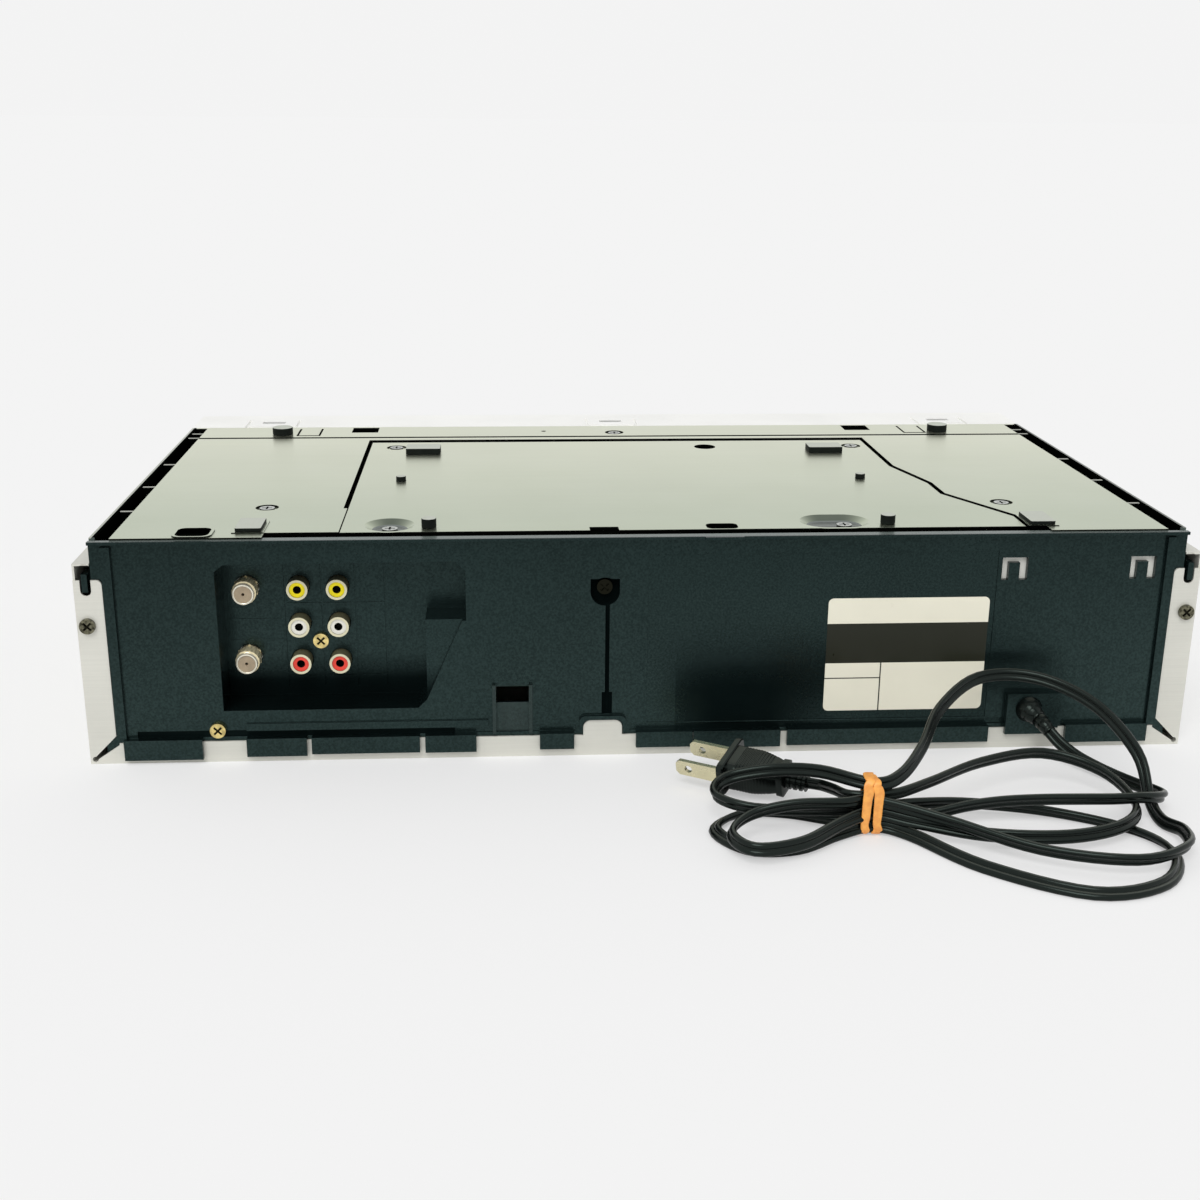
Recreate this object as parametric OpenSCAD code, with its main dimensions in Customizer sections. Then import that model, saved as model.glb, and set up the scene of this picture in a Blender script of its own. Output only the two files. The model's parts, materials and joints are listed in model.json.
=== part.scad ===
// Video cassette recorder, lying on its lid: z = 0 is the outer face of the lid,
// the rear panel looks along -Y, the front panel along +Y and the feet point up.
// Inside seat(), y is the depth from the cover's rear flange.

/* [Case] */
// Width over the silver top cover
case_w = 430; // [424:1:440]
// Height from the lid's outer face to the underside
case_h = 89.5; // [88.5:0.5:96]
// Step from the underside down to the cover's side walls
ledge_h = 11.9; // [10.5:0.2:15]
// Depth of the case behind the front panel
case_d = 206; // [204:1:216]
// Sheet steel of the top cover
sheet = 0.8; // [0.6:0.1:1]
// Wall of the frame and of the rear panel
wall = 2.2; // [1.8:0.1:2.6]
// Step from the cover's outer side in to the frame's side
ledge_w = 6.5; // [5.5:0.5:7.5]
// Thickness of the plates that close the underside
plate_t = 1.6; // [1.2:0.1:2]
// Width of the open channel along each side of the underside
channel_w = 5.3; // [4:0.1:7]
// Width of the rear flange's side strips
flange_w = 10.5; // [9.5:0.5:11]
// Height of the rear flange's strip along the lid
flange_h = 8.5; // [8:0.5:9]

/* [Feet] */
// Height of the round feet
foot_h = 3.5; // [2.5:0.5:6]
// Diameter of the front feet
knob_d = 9.7; // [8:0.1:12]
// Diameter of the rear feet
peg_d = 5.7; // [5:0.1:7]
// Height of the rear pads
rear_pad_h = 1.7; // [1:0.1:2.4]
// Height of the front pads
front_pad_h = 2.6; // [1.5:0.1:3.4]

/* [Sockets] */
// Depth of the socket bay
bay_depth = 17; // [14:0.5:19]
// Length of an aerial socket
aerial_len = 9.6; // [8.5:0.1:12]
// Diameter of an aerial socket's barrel
aerial_d = 9; // [8.6:0.1:10]
// Length of a pin socket
pin_len = 5.8; // [5:0.2:9]
// Outer diameter of a pin socket
pin_d = 8.1; // [7.9:0.1:9]
// Distance between pin sockets
pin_pitch = 15.1; // [14:0.1:16]

/* [Front] */
// Depth of the front panel
front_d = 30; // [30:1:50]
// Wall of the front panel
front_wall = 2.5; // [2:0.1:3]
// Width of the cassette opening
slot_w = 196; // [194:1:204]
// Height of the cassette opening
slot_h = 33; // [32:0.5:34]
// Travel of each button
button_travel = 1.5; // [0.8:0.1:2]
// How far the buttons stand out
button_proud = 1; // [0.4:0.1:1.6]

/* [Mechanism] */
// Thickness of the deck plate
deck_t = 1.2; // [1:0.1:2]
// Diameter of the head drum
drum_d = 62; // [56:0.5:62]
// Distance between the reel centres
reel_pitch = 92; // [90:0.5:96]
// Diameter of a reel table
reel_d = 34; // [30:0.5:38]
// Diameter of the capstan shaft
capstan_d = 3; // [2.5:0.1:4]
// Diameter of the pinch roller
roller_d = 13; // [11:0.5:14]
// Radial clearance of every shaft in its bore
run = 0.05; // [0.03:0.01:0.08]
// How far the tape guides slide
guide_travel = 42; // [36:1:44]
// How far the cassette carriage slides back
carriage_travel = 15; // [12:1:16]
// How far the cassette holder moves to the deck
holder_travel = 20; // [12:1:22]

/* [Cord] */
// Diameter of the cord's tube
cord_d = 3.2; // [2.8:0.1:3.2]
// Length of the plug with its strain relief
plug_len = 32; // [30:1:34]
// Length of the plug's blades
blade_len = 17.5; // [16:0.5:18]

/* [Hidden] */
$fn = 48;

// Clearances
fit = 0.3;            // between pieces that only lie beside each other
seam = 1.9;           // dark seam round the service plate

// Case
cover_h = case_h - ledge_h;              // height of the cover's side walls at the rear
cover_x = case_w / 2;                  // cover's outer side
frame_x = cover_x - ledge_w;           // frame's outer side
frame_in = frame_x - wall;             // frame's inner side
channel_in = frame_in - channel_w;     // channel's inner side
flange_in = cover_x - flange_w;        // inner edge of the rear flange's side strips
panel_y = sheet + 0.2;                 // rear panel's outer face
panel_back = panel_y + wall;           // rear panel's inner face
lid_gap = sheet + fit;                 // lowest point of what stands on the lid
plate_z = case_h - plate_t;            // inner face of the underside's plates
frame_back = case_d - wall;            // inner face of the frame's front wall
front_y = case_d + front_d;            // outer face of the front panel
tab_proud = 2;                         // how far the lid tabs stand out behind the flange
centre_y = (front_y + button_proud - tab_proud) / 2;
floor_t = 3;                           // ribs that carry the underside's plates
floor_z = plate_z - floor_t;
post_h = 5.5;                          // posts of the plates' screws
channel_depth = 9;
rim_h = 1.2;                           // lip along the rear panel's upper edge
rim_proud = 1;
rim_drop = 0.6;                        // the lip lies this far below the plates
rim_z = case_h - rim_drop;
tongue_x = [-25, -9.8];                // cover's arched tongue, left and right edge
tongue_h = 14.7;
flange_top = cover_h - 3.6;             // upper end of the rear flange's side strips
fold_z = cover_h + 2.6;                // outer face of the cover's folded edges
flange_screw_z = cover_h - 21.3;
flange_screw_x = cover_x - 4;
hook_z = cover_h - 9.6;
channel_ribs = [43.5, 84, 126, case_d - 23, case_d - 13];

// Underside
gap_line_y = case_d - 31;              // front edge of the service plate's opening
front_strip_y = case_d - 24;           // rear edge of the front strip
rear_strip = [-145, 155];              // left and right end of the rear panel's upper strip
rear_strip_y = 3.4;
thin_seam_y = 44;                      // the left seam is narrow behind this depth
service = [[-118.8, 6.3], [148.9, 6.3], [148.9, 23.8], [129.9, 61.3], [129.5, 80.2], [120.9, 113.2],
  [120.4, gap_line_y - 3.6], [-118.8, gap_line_y - 3.6]];
plate_screw_at = [[-149.2, 46.2], [149, 45.5], [0, case_d - 16], [-104.9, gap_line_y - 16.7],
  [111, gap_line_y - 18.4]];
dish_screw_at = [[-98.8, 18.9], [78, 18.9]];
screw_r = 1.4;
screw_head_r = 3;
dimple_r = 4.6;
dish_r = 10;
dish_depth = 2.2;
pin_hole_at = [[-98.8, 91.4], [100.5, 90.5]];
rear_foot_at = [[-83.6, 15], [94.1, 14.5]];
front_foot_at = [[-162, case_d - 16], [162, case_d - 16]];
rear_pad_at = [[-151.1, 16.4], [153.9, 16.3]];
rear_pad = [9.8, 15.5];
front_pad_at = [[-91.8, gap_line_y - 27.3], [95.8, gap_line_y - 28.8]];
front_pad = [15.8, 10];

grip_hole = rect(-177.5, -165, 2.6, 14.4);

// Rear panel
bay_top = plate_z - 8.3;
bay_step = bay_top - 23.6;             // height of the step in the bay's outline
bay = [[-163.3, 20.6], [-89, 20.6], [-85.4, 24.2], [-85.4, bay_step], [-69.8, bay_step],
  [-69.8, bay_top - 3.8], [-73.6, bay_top], [-160, bay_top - 0.6], [-163.3, bay_top - 3.2]];
bay_facet = [[-88.4, 21.2], [-85.4, 24.2], [-69.8, bay_step + 3.5], [-69.8, bay_top - 3.8],
  [-85.4, bay_top - 3.8]];
bay_floor = panel_y + bay_depth;
pin_x = -134.6;
pin_z = plate_z - 52.7;                // lowest row of pin sockets
pin_wall = 0.95;                       // wall of a pin socket's shell
aerial_at = [[-154.5, plate_z - 22.9], [-154.8, plate_z - 51]];
bay_screw_at = [-126.9, plate_z - 44.6];
panel_screw_at = [-165.8, 13.1];
keyhole_x = -16.8;
keyhole_r = 5.6;
keyhole_z = plate_z - 20.9;
keyhole_top = plate_z - 15.9;
keyhole_depth = 5;
snap = [-60.3, -44.8, 9, 30];
field = [-0.3, 135, 13, plate_z - 6.4];         // label field: left, right, low, high
field_depth = 0.4;
label = [69.7, 133, 16.5, 63];
label_t = 0.15;
vent_slots = [136.6, 187.3];           // left ends of the two bent slots
vent_low = plate_z - 18.1;
vent_high = plate_z - 9.1;
vent_bar = 2.6;                        // width of a bent slot's bars
bushing_block = [142.7, 164, 6.4, 23.5];
bushing_at = [151.6, 17];
bushing_r = 5.2;
tabs = [[-201.5, -171.7, 1.8], [-155, -132, 2.6], [-130.2, -88.6, 3.2], [-86.5, -66.7, 3],
  [-42, -28.6, 3.5], [-4.4, 17.9, 3.6], [18.2, 52.7, 3], [55.3, 136, 3.4], [167.3, 200.5, 2.5]];

// Front panel
slot_z = 8;                            // edge of the opening beside the lid
flap_t = 2.5;
flap_pin_r = 1.5;
flap_ear = 4;
flap_y = front_y - flap_t - 1.5;       // hinge line behind the front face
flap_z = slot_z + 2.5;
window = [-62, 62, slot_z + slot_h + 9, case_h - 15.5];
socket_x = [for (k = [0:2]) -cover_x + 37 + 14 * k];
front_socket_z = window[3] - 8;
key_z = (window[2] + window[3]) / 2 - 4;
button_rows = [[-cover_x + 27, 22, 15, 9], [-cover_x + 27, 42, 15, 9], [cover_x - 97, key_z, 26, 12],
  [cover_x - 67, key_z, 22, 12], [cover_x - 41, key_z, 22, 12], [cover_x - 19, key_z, 14, 12]];
board_y = front_y - 14;

// Mechanism
board_z = floor_z - 5.9;               // component side of the circuit boards
board_t = 1.6;
deck_z = board_z - 13;                 // deck plate's face on the reels' side
deck_x = 108;
deck_y = [26, case_d - 8];
pillar_r = 4;
pillar_at = [[-104, 36], [104, 36], [-104, case_d - 30], [104, case_d - 30]];
drum_y = 48;
drum_tilt = 5.9;
drum_h = 16;                           // height of each half of the drum
drum_gap = 0.6;
reel_y = 142;
reel_pin_r = 2;
capstan_at = [60, 88];
pulley_at = [20, 118];
capstan_pulley_r = 8;
reel_pulley_r = 12;
belt_t = 1.2;
arm_at = [82, 92];                     // pinch arm's pivot
arm_reach = 19.5;
arm_turn = 28;                         // angle from rest to the capstan
arm_pin_r = 2;
guide_start = [33, 96];
guide_end = [44, 55.5];
guide_r = 3;
gear_at = [-72, 84];
gear_r = 14;
holder_x = 98;
holder_t = 1;
holder_y = [drum_y + 52, case_d - 6];
holder_z = [slot_z + 1, slot_z + slot_h - 1];
rail_x = 103;

// Cord: routes in millimetres, in the same frame as the case
waist = [73, -71.5];                   // where the band ties the hank
column = 2;                            // half the distance between the hank's two columns
row_z = 3.4;                           // height of the lowest row at the waist
row_step = 4.7;
cord_sides = 6;
spline_steps = 2;                      // rings for each point of a lobe
lead_route = [[154.3, -6.3, 14.5], [155.2, -9.6, 13.7], [157.2, -13, 11.2], [160.4, -17, 8],
  [165, -22.4, 5.2], [170.3, -29, 3.6], [175.6, -37, 3], [180, -46, 3.6], [182.6, -54.5, 5],
  [181.9, -61.8, 6.8], [177, -67, 8.8], [169.6, -69.8, 10.2], [160, -70.6, 10.3], [149, -70, 10.2],
  [135, -68.8, 9.8], [121, -68.4, 9.2], [108, -68.6, 7.8], [96, -69.3, 5.4], [84, -69.5, 3.4]];
// The hank's lobes, each from the waist round its tip and back to the waist
left_low = [[61, -67.5, 2.6], [45, -60, 2], [29, -59, 2], [17.5, -71, 2], [27, -86, 2],
  [44, -86.5, 2], [60, -77.5, 2.6]];
right_low = [[85, -79, 2.4], [104, -103, 2], [134, -122.5, 2], [160, -117, 2], [172, -97, 2],
  [165, -79, 2], [140, -64, 2.6], [112, -60.4, 4.8], [89, -65, 7.4]];
left_high = [[61, -70.4, 8.2], [45, -69.4, 8], [29, -69, 9.2], [18.8, -60.6, 10.2],
  [24, -50.4, 11.8], [40, -51.6, 15.4], [56, -60, 18.4]];
right_arch = [[84, -65, 18.4], [96, -48.5, 22], [108, -27, 28], [127, -11, 34], [149, -12.6, 34.4],
  [167, -27.5, 29], [177, -47, 17.6], [177.6, -61, 5], [177.4, -73, 2.6], [179.8, -85, 4.4],
  [174, -100, 6.2], [154, -108.6, 6.2], [124, -100, 6.4], [96, -82.5, 9.4]];
left_front = [[61, -74.6, 12.8], [44, -74.4, 12.4], [29, -75.4, 9.2], [21.2, -84.4, 6.8],
  [28, -94.6, 6], [45, -91, 6.2], [61, -79, 7.4]];
right_mid = [[87, -77.5, 6.4], [110, -86, 5.2], [138, -89.5, 5.6], [160, -82.5, 6.2], [170, -66, 6.4],
  [165, -45, 9.6], [146, -34.8, 12.6], [120, -43.5, 13.2], [97, -59, 13], [83, -67.6, 12.9]];
tail = [[65, -68, 12.6], [61.6, -60.5, 11.4], [58.8, -54, 10], [56.3, -51.9, 9.7]];
plug_at = [26.7, -33.5, 9.5];          // centre of the plug's face
plug_yaw = -31.9;
plug_roll = 13.6;
plug_face = [21, 13.4];
blade_gap = 12.7;
blade = [6.3, 1.5];
band_w = 8;
band_t = 0.9;

// ---- Helpers ----

// Moves pieces from the rear flange's depth to the part's own origin
module seat() translate([0, -centre_y, 0]) children();

module box(x0, x1, y0, y1, z0, z1) translate([x0, y0, z0]) cube([x1 - x0, y1 - y0, z1 - z0]);

module both_sides() {
  children();
  mirror([1, 0, 0]) children();
}

// A flat outline in x and z, from depth y0 to y1
module slab(y0, y1) translate([0, y1, 0]) rotate([90, 0, 0]) linear_extrude(y1 - y0) children();

module rod_y(x, z, r, y0, y1) translate([x, y0, z]) rotate([-90, 0, 0]) cylinder(r = r, h = y1 - y0);

module rod_z(x, y, r, z0, z1) translate([x, y, z0]) cylinder(r = r, h = z1 - z0);

// Tube along z
module ring_z(x, y, r, bore, z0, z1) difference() {
  rod_z(x, y, r, z0, z1);
  rod_z(x, y, bore, z0 - 1, z1 + 1);
}

// Cross-shaped driver recess, cut along y or z
module cross_y(x, z, y, s) for (a = [45, -45]) translate([x, y, z]) rotate([0, a, 0])
  cube([s, 1.6, 0.8], center = true);
module cross_z(x, y, z, s) for (a = [0, 90]) translate([x, y, z]) rotate([0, 0, a])
  cube([s, 0.8, 1.6], center = true);

// Outline with each corner rounded by an arc of radius r
function arc_at(a, b, c, r, n) =
  let (u = (a - b) / norm(a - b), v = (c - b) / norm(c - b), half = acos(u * v) / 2,
    m = b + (u + v) / norm(u + v) * r / sin(half), s = b + u * r / tan(half) - m,
    e = b + v * r / tan(half) - m, a0 = atan2(s[1], s[0]),
    turn = (atan2(e[1], e[0]) - a0 + 540) % 360 - 180)
  [for (i = [0:n]) m + r * [cos(a0 + turn * i / n), sin(a0 + turn * i / n)]];
function rounded(p, r, n = 5) = [for (i = [0:len(p) - 1])
  each arc_at(p[(i + len(p) - 1) % len(p)], p[i], p[(i + 1) % len(p)], r, n)];
function rect(x0, x1, y0, y1) = [[x0, y0], [x1, y0], [x1, y1], [x0, y1]];

// Outline moved inwards by d; its points run anticlockwise
function inset(p, d) = [for (i = [0:len(p) - 1])
  let (a = p[(i + len(p) - 1) % len(p)], b = p[i], c = p[(i + 1) % len(p)],
    u = (b - a) / norm(b - a), v = (c - b) / norm(c - b), n = [-u[1], u[0]], m = [-v[1], v[0]])
  b + (n + m) * d / (1 + n * m)];

// ---- Case ----

module top_cover() color("gainsboro") seat() difference() {
  union() {
    box(-cover_x, cover_x, 0, case_d, 0, sheet);
    box(-cover_x, cover_x, 0, sheet, 0, flange_h);
    slab(0, sheet) polygon(rounded(rect(tongue_x[0], tongue_x[1], 1, tongue_h), 3));
    both_sides() {
      box(cover_x - sheet, cover_x, sheet - 0.01, case_d, 0, fold_z);
      box(frame_x + fit, cover_x, sheet, case_d, fold_z - sheet, fold_z);
      slab(0, sheet) polygon(concat([[flange_in, 0], [cover_x, 0], [cover_x, flange_top]],
        arc_at([cover_x, flange_top], [flange_in, flange_top], [flange_in, 0], 2, 5)));
    }
  }
  both_sides() {
    slab(-1, sheet + 0.5) polygon(rounded(rect(cover_x - 6.5, cover_x - 2.5, hook_z, fold_z), 1.9));
    rod_y(flange_screw_x, flange_screw_z, screw_r + 0.4, -1, sheet + 1);
    rod_y(cover_x - 1.9, 1.9, 1.1, -1, sheet + 1);
    slab(-1, sheet + 0.5) polygon([[flange_in - 1, flange_h - 0.9], [cover_x - 2.3, 1.4],
      [cover_x - 1.5, 2.3], [flange_in - 1, flange_h + 3.9]]);
  }
}

module cover_screws() color("dimgray") seat() {
  both_sides() difference() {
    union() {
      rod_y(flange_screw_x, flange_screw_z, screw_head_r, -1.4, 0);
      rod_y(flange_screw_x, flange_screw_z, screw_r, 0, 7);
    }
    cross_y(flange_screw_x, flange_screw_z, -1.4, 4);
  }
  difference() {
    union() {
      rod_y(keyhole_x, keyhole_z + 1, screw_head_r, panel_y + keyhole_depth - 2, panel_y + keyhole_depth);
      rod_y(keyhole_x, keyhole_z + 1, screw_r, panel_y + keyhole_depth, panel_y + keyhole_depth + 5);
    }
    cross_y(keyhole_x, keyhole_z + 1, panel_y + keyhole_depth - 2, 4);
  }
}

// Openings of the ribbed floor that carries the plates
module floor_openings() {
  polygon(rounded(rect(-channel_in + 8, -126, 14, 40), 4));
  polygon(rounded(rect(-channel_in + 8, -126, 52, gap_line_y - 7), 4));
  polygon(rounded(rect(-97, 97, 26, gap_line_y - 9), 4));
  polygon(rounded(rect(156, channel_in - 8, 36, gap_line_y - 7), 4));
  polygon(rounded(rect(-channel_in + 8, -60, case_d - 22, case_d - 10), 4));
}

module main_frame() color([0.1, 0.11, 0.11]) seat() difference() {
  union() {
    both_sides() {
      box(frame_in, frame_x, panel_back, case_d, lid_gap, case_h);
      // hook that shows in the flange's notch, with its arm, and the flange screw's boss
      box(cover_x - 5.6, cover_x - 3.4, -0.9, panel_back + 4, hook_z + 1.6, cover_h - 1);
      box(frame_x - 0.01, cover_x - 3.4, panel_back, panel_back + 4, cover_h - 5, cover_h - 1);
      box(frame_x - 0.01, cover_x - sheet - fit, panel_back, panel_back + 6, flange_screw_z - 5, flange_screw_z + 5);
      box(frame_x + fit, cover_x - sheet - fit, sheet, panel_back + 0.01, flange_screw_z - 5, flange_screw_z + 5);
      box(channel_in - 1.5, channel_in, panel_back, frame_back, case_h - channel_depth, plate_z);
      box(channel_in - 1.5, frame_in + 0.01, panel_back, frame_back, case_h - channel_depth - 1.5,
        case_h - channel_depth);
      for (y = channel_ribs) box(channel_in - 0.01, frame_in + 0.01, y - 0.6, y + 0.6,
        case_h - channel_depth - 0.01, case_h - 0.3);
    }
    box(-frame_in, frame_in, frame_back, case_d, lid_gap, plate_z);
    difference() {
      translate([0, 0, floor_z]) linear_extrude(floor_t) difference() {
        polygon(rect(-channel_in + 1, channel_in - 1, panel_back, frame_back + 0.01));
        floor_openings();
      }
      for (p = dish_screw_at) rod_z(p[0], p[1], dish_r + 1, floor_z - 1, plate_z + 1);
      box(56, 92, 5.9, 30, floor_z - 1, plate_z + 1);
    }
    for (p = plate_screw_at) rod_z(p[0], p[1], 4, plate_z - post_h, plate_z);
    for (p = dish_screw_at) rod_z(p[0], p[1], 4, plate_z - post_h, plate_z - dish_depth);
    for (p = dish_screw_at) box(p[0] - 2, p[0] + 2, panel_back, p[1], plate_z - post_h, floor_z + 0.01);
    for (x = [-170, 0, 170]) {
      box(x - 8, x + 8, case_d - 1, case_d + 14, case_h - front_wall - fit - 1.6, case_h - front_wall - fit);
      box(x - 5, x + 5, case_d + 11, case_d + 14, case_h - front_wall - 1.6, case_h - 0.6);
    }
  }
  box(-slot_w / 2 - 4, slot_w / 2 + 4, frame_back - 1, case_d + 1, lid_gap - 1, slot_z + slot_h + 3);
  both_sides() {
    rod_y(flange_screw_x, flange_screw_z, screw_r + run, 0, 12);
    box(channel_in - 50, channel_in - 14, frame_back - 1, case_d + 1, 20, 60);
  }
  for (p = concat(plate_screw_at, dish_screw_at)) rod_z(p[0], p[1], screw_r + run, plate_z - 9, case_h);
}

// The bay's grid of fine grooves round its sockets
module bay_grooves() {
  x0 = pin_x - 5.4;
  x1 = pin_x + 33.1;
  for (x = [x0, pin_x + 8.7, pin_x + 21.7, x1])
    box(x - 0.3, x + 0.3, bay_floor - 0.5, bay_floor + 0.3, 24, bay_top - 1.8);
  for (z = [pin_z - 6.5, pin_z + 23.6])
    box(x0, x1, bay_floor - 0.5, bay_floor + 0.3, z - 0.3, z + 0.3);
  for (z = [pin_z + 8.8, pin_z + 17.3])
    box(bay[0][0] + 1.2, x0 - 1.5, bay_floor - 0.5, bay_floor + 0.3, z - 0.3, z + 0.3);
}

// A bent slot with a tongue in its middle
module bent_slot(x) slab(panel_y - 1, panel_back + 1) difference() {
  polygon(rect(x, x + 4 * vent_bar - 0.4, vent_low, vent_high));
  polygon(rect(x + vent_bar, x + 3 * vent_bar - 0.9, vent_low - 1, vent_high - 2.1));
}

module snap_window() {
  box(snap[0] + 1.4, snap[1] - 1.4, panel_y - 1, panel_back + 1, 22, snap[3] - 1);
  box(snap[0] + 1.4, snap[1] - 1.4, panel_y - 1, panel_y + 1, snap[2] + 1, 22);
}

module rear_panel() color([0.12, 0.15, 0.15]) seat() difference() {
  union() {
    slab(panel_y, panel_back) polygon(rect(-frame_x, frame_x, lid_gap, plate_z));
    box(rear_strip[0], rear_strip[1], panel_y, panel_back, plate_z - 0.01, rim_z);
    box(rear_strip[0], rear_strip[1], panel_back - 0.01, rear_strip_y, plate_z + 0.1, rim_z);
    box(20.8, 35.5, -tab_proud, panel_y, rim_z - rim_h, rim_z);
    box(-frame_x, frame_x, -rim_proud, panel_y + 0.01, rim_z - rim_h, rim_z);
    box(-frame_x, frame_x, panel_y - 0.01, panel_y + 0.6, plate_z - 0.01, rim_z);
    // walls and floor of the bay, the keyhole and the bushing's block
    slab(panel_back - 0.01, bay_floor + 1.6) polygon(rect(bay[0][0] - 1.9, bay[4][0] + 1.8, bay[0][1] - 2, bay_top + 1.8));
    slab(panel_back - 0.01, panel_y + keyhole_depth + 1.6)
      polygon(rect(keyhole_x - 8, keyhole_x + 8, keyhole_z - 8, keyhole_top + 2));
    box(bushing_block[0], bushing_block[1], -tab_proud, panel_y + 0.01, flange_h + 0.4, bushing_block[3]);
    box(bushing_block[0], bushing_block[1] - 2, -tab_proud, -0.2, bushing_block[2], flange_h + 0.5);
    // raised borders beside the flange, the lid ledge and the tabs over the flange
    both_sides() box(frame_x - 8, flange_in - 0.3, -0.6, panel_y + 0.01, flange_h + 0.5, rim_z - rim_h - 1);
    box(-155, -62, 0, panel_y + 0.01, 12.6, 15.4);
    slab(-0.8, panel_y + 0.01) difference() {
      polygon(rounded(rect(tongue_x[0] - 1.6, tongue_x[1] + 1.6, flange_h + 0.5, tongue_h + 1.9), 2.4));
      polygon(rounded(rect(tongue_x[0] - 0.3, tongue_x[1] + 0.3, 0, tongue_h + 0.3), 2.4));
    }
    for (t = tabs) {
      box(t[0], t[1], -tab_proud, -0.2, t[2], flange_h + 1.5);
      box(t[0], t[1], -0.21, panel_y + 0.01, flange_h + 0.4, flange_h + 1.5);
    }
    // snap hook's ribs and tongue
    for (x = [snap[0], snap[1] - 1.4]) box(x, x + 1.4, -0.8, panel_y + 0.01, snap[2] + 1, snap[3]);
    for (p = [bay_screw_at]) rod_y(p[0], p[1], 3.4, bay_floor, bay_floor + 6);
  }
  slab(panel_y - 1, bay_floor) polygon(bay);
  slab(panel_y - 1, panel_y + 2) polygon(bay_facet);
  bay_grooves();
  slab(panel_y - 1, panel_y + keyhole_depth) union() {
    polygon(rect(keyhole_x - keyhole_r, keyhole_x + keyhole_r, keyhole_z, keyhole_top));
    translate([keyhole_x, keyhole_z]) circle(r = keyhole_r);
  }
  box(keyhole_x + 0.2, keyhole_x + 1.8, panel_y - 1, panel_y + 1.4, 18, keyhole_z - keyhole_r + 1);
  box(keyhole_x - 1, keyhole_x + 3, panel_y - 1, panel_y + 1, 17, 26);
  box(field[0], field[1], panel_y - 1, panel_y + field_depth, field[2], field[3]);
  for (x = vent_slots) bent_slot(x);
  snap_window();
  box(-frame_x + 12, tongue_x[0] - 3, panel_y - 1, panel_y + 0.6, flange_h + 1.5, 12.6);
  box(tongue_x[1] + 3, bushing_block[0], panel_y - 1, panel_y + 0.6, flange_h + 1.5, 12.6);
  // passages for the sockets, the cord and the screws
  for (p = aerial_at) rod_y(p[0], p[1], aerial_d / 2 + fit, bay_floor - 1, bay_floor + 5);
  for (i = [0, 1], j = [0:2]) rod_y(pin_x + i * pin_pitch, pin_z + j * pin_pitch, pin_d / 2 + fit,
    bay_floor - 1, bay_floor + 5);
  rod_y(bay_screw_at[0], bay_screw_at[1], screw_r + run, bay_floor - 1, bay_floor + 9);
  rod_y(panel_screw_at[0], panel_screw_at[1], screw_r + run, panel_y - 1, panel_back + 1);
  rod_y(keyhole_x, keyhole_z + 1, screw_r + run, panel_y, panel_y + 9);
  rod_y(bushing_at[0], bushing_at[1], bushing_r + run, -tab_proud - 1, panel_back + 1);
}

// Plan of everything the outer plate leaves open
module base_openings() {
  polygon([[service[0][0] + seam - 0.4, -1], [service[1][0], -1], service[2], service[3], service[4],
    service[5], [service[6][0], gap_line_y - 0.6], [service[7][0], gap_line_y - 0.6],
    [service[7][0], thin_seam_y], [service[0][0] + seam - 0.4, thin_seam_y]]);
  polygon(rect(rear_strip[0], rear_strip[1], -1, service[0][1] + seam));
  polygon(rounded(grip_hole, 3));
  for (x = [-129, 116]) polygon(rect(x, x + 12.8, case_d - 13.5, case_d - 2));
  // slots round the two square tongues near the front edge
  for (x = [-155, 144]) difference() {
    polygon(rect(x, x + 11.5, case_d - 21, case_d - 4));
    polygon(rect(x + 1, x + 10.5, case_d - 19.4, case_d - 2));
  }
  translate([-34.8, case_d - 12.3]) circle(r = 1.2);
}

module base_plate() color([0.74, 0.76, 0.7]) seat() difference() {
  union() {
    translate([0, 0, plate_z]) linear_extrude(plate_t) difference() {
      polygon(rect(-channel_in + 0.2, channel_in - 0.2, panel_y + 0.7, case_d - 0.2));
      base_openings();
    }
    both_sides() box(channel_in - 0.5, frame_in, frame_back, case_d - 0.2, plate_z, case_h);
    // lip round the hole at the rear edge
    translate([0, 0, case_h - 0.01]) linear_extrude(0.5) difference() {
      polygon(rounded(rect(grip_hole[0][0] - 1.2, grip_hole[1][0] + 1.2, grip_hole[0][1] - 0.8,
        grip_hole[2][1] + 1.2), 3.6));
      polygon(rounded(grip_hole, 3));
    }
    for (p = rear_pad_at) box(p[0] - 6, p[0] + 6, 7.6, 24.8, case_h - 0.01, case_h + 0.3);
  }
  for (p = [plate_screw_at[0], plate_screw_at[1], plate_screw_at[2]]) {
    rod_z(p[0], p[1], screw_r + 0.3, plate_z - 1, case_h + 1);
    rod_z(p[0], p[1], dimple_r, case_h - 0.9, case_h + 1);
  }
  // the groove behind the front strip
  box(-channel_in, channel_in, front_strip_y - 2.8, front_strip_y, case_h - 1.2, case_h + 1);
  for (p = front_foot_at) rod_z(p[0], p[1], 2 + run, plate_z - 1, case_h + 1);
}

// Outline of a dished emboss, round or drawn out to one side
module dish(p, r, z0, z1, stretch) hull() {
  translate([p[0], p[1], z0]) cylinder(r1 = r - (z1 - z0) * 1.6, r2 = r, h = z1 - z0, $fn = 32);
  translate([p[0] - stretch, p[1], z0]) cylinder(r1 = r - (z1 - z0) * 1.6, r2 = r, h = z1 - z0, $fn = 32);
}

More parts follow.
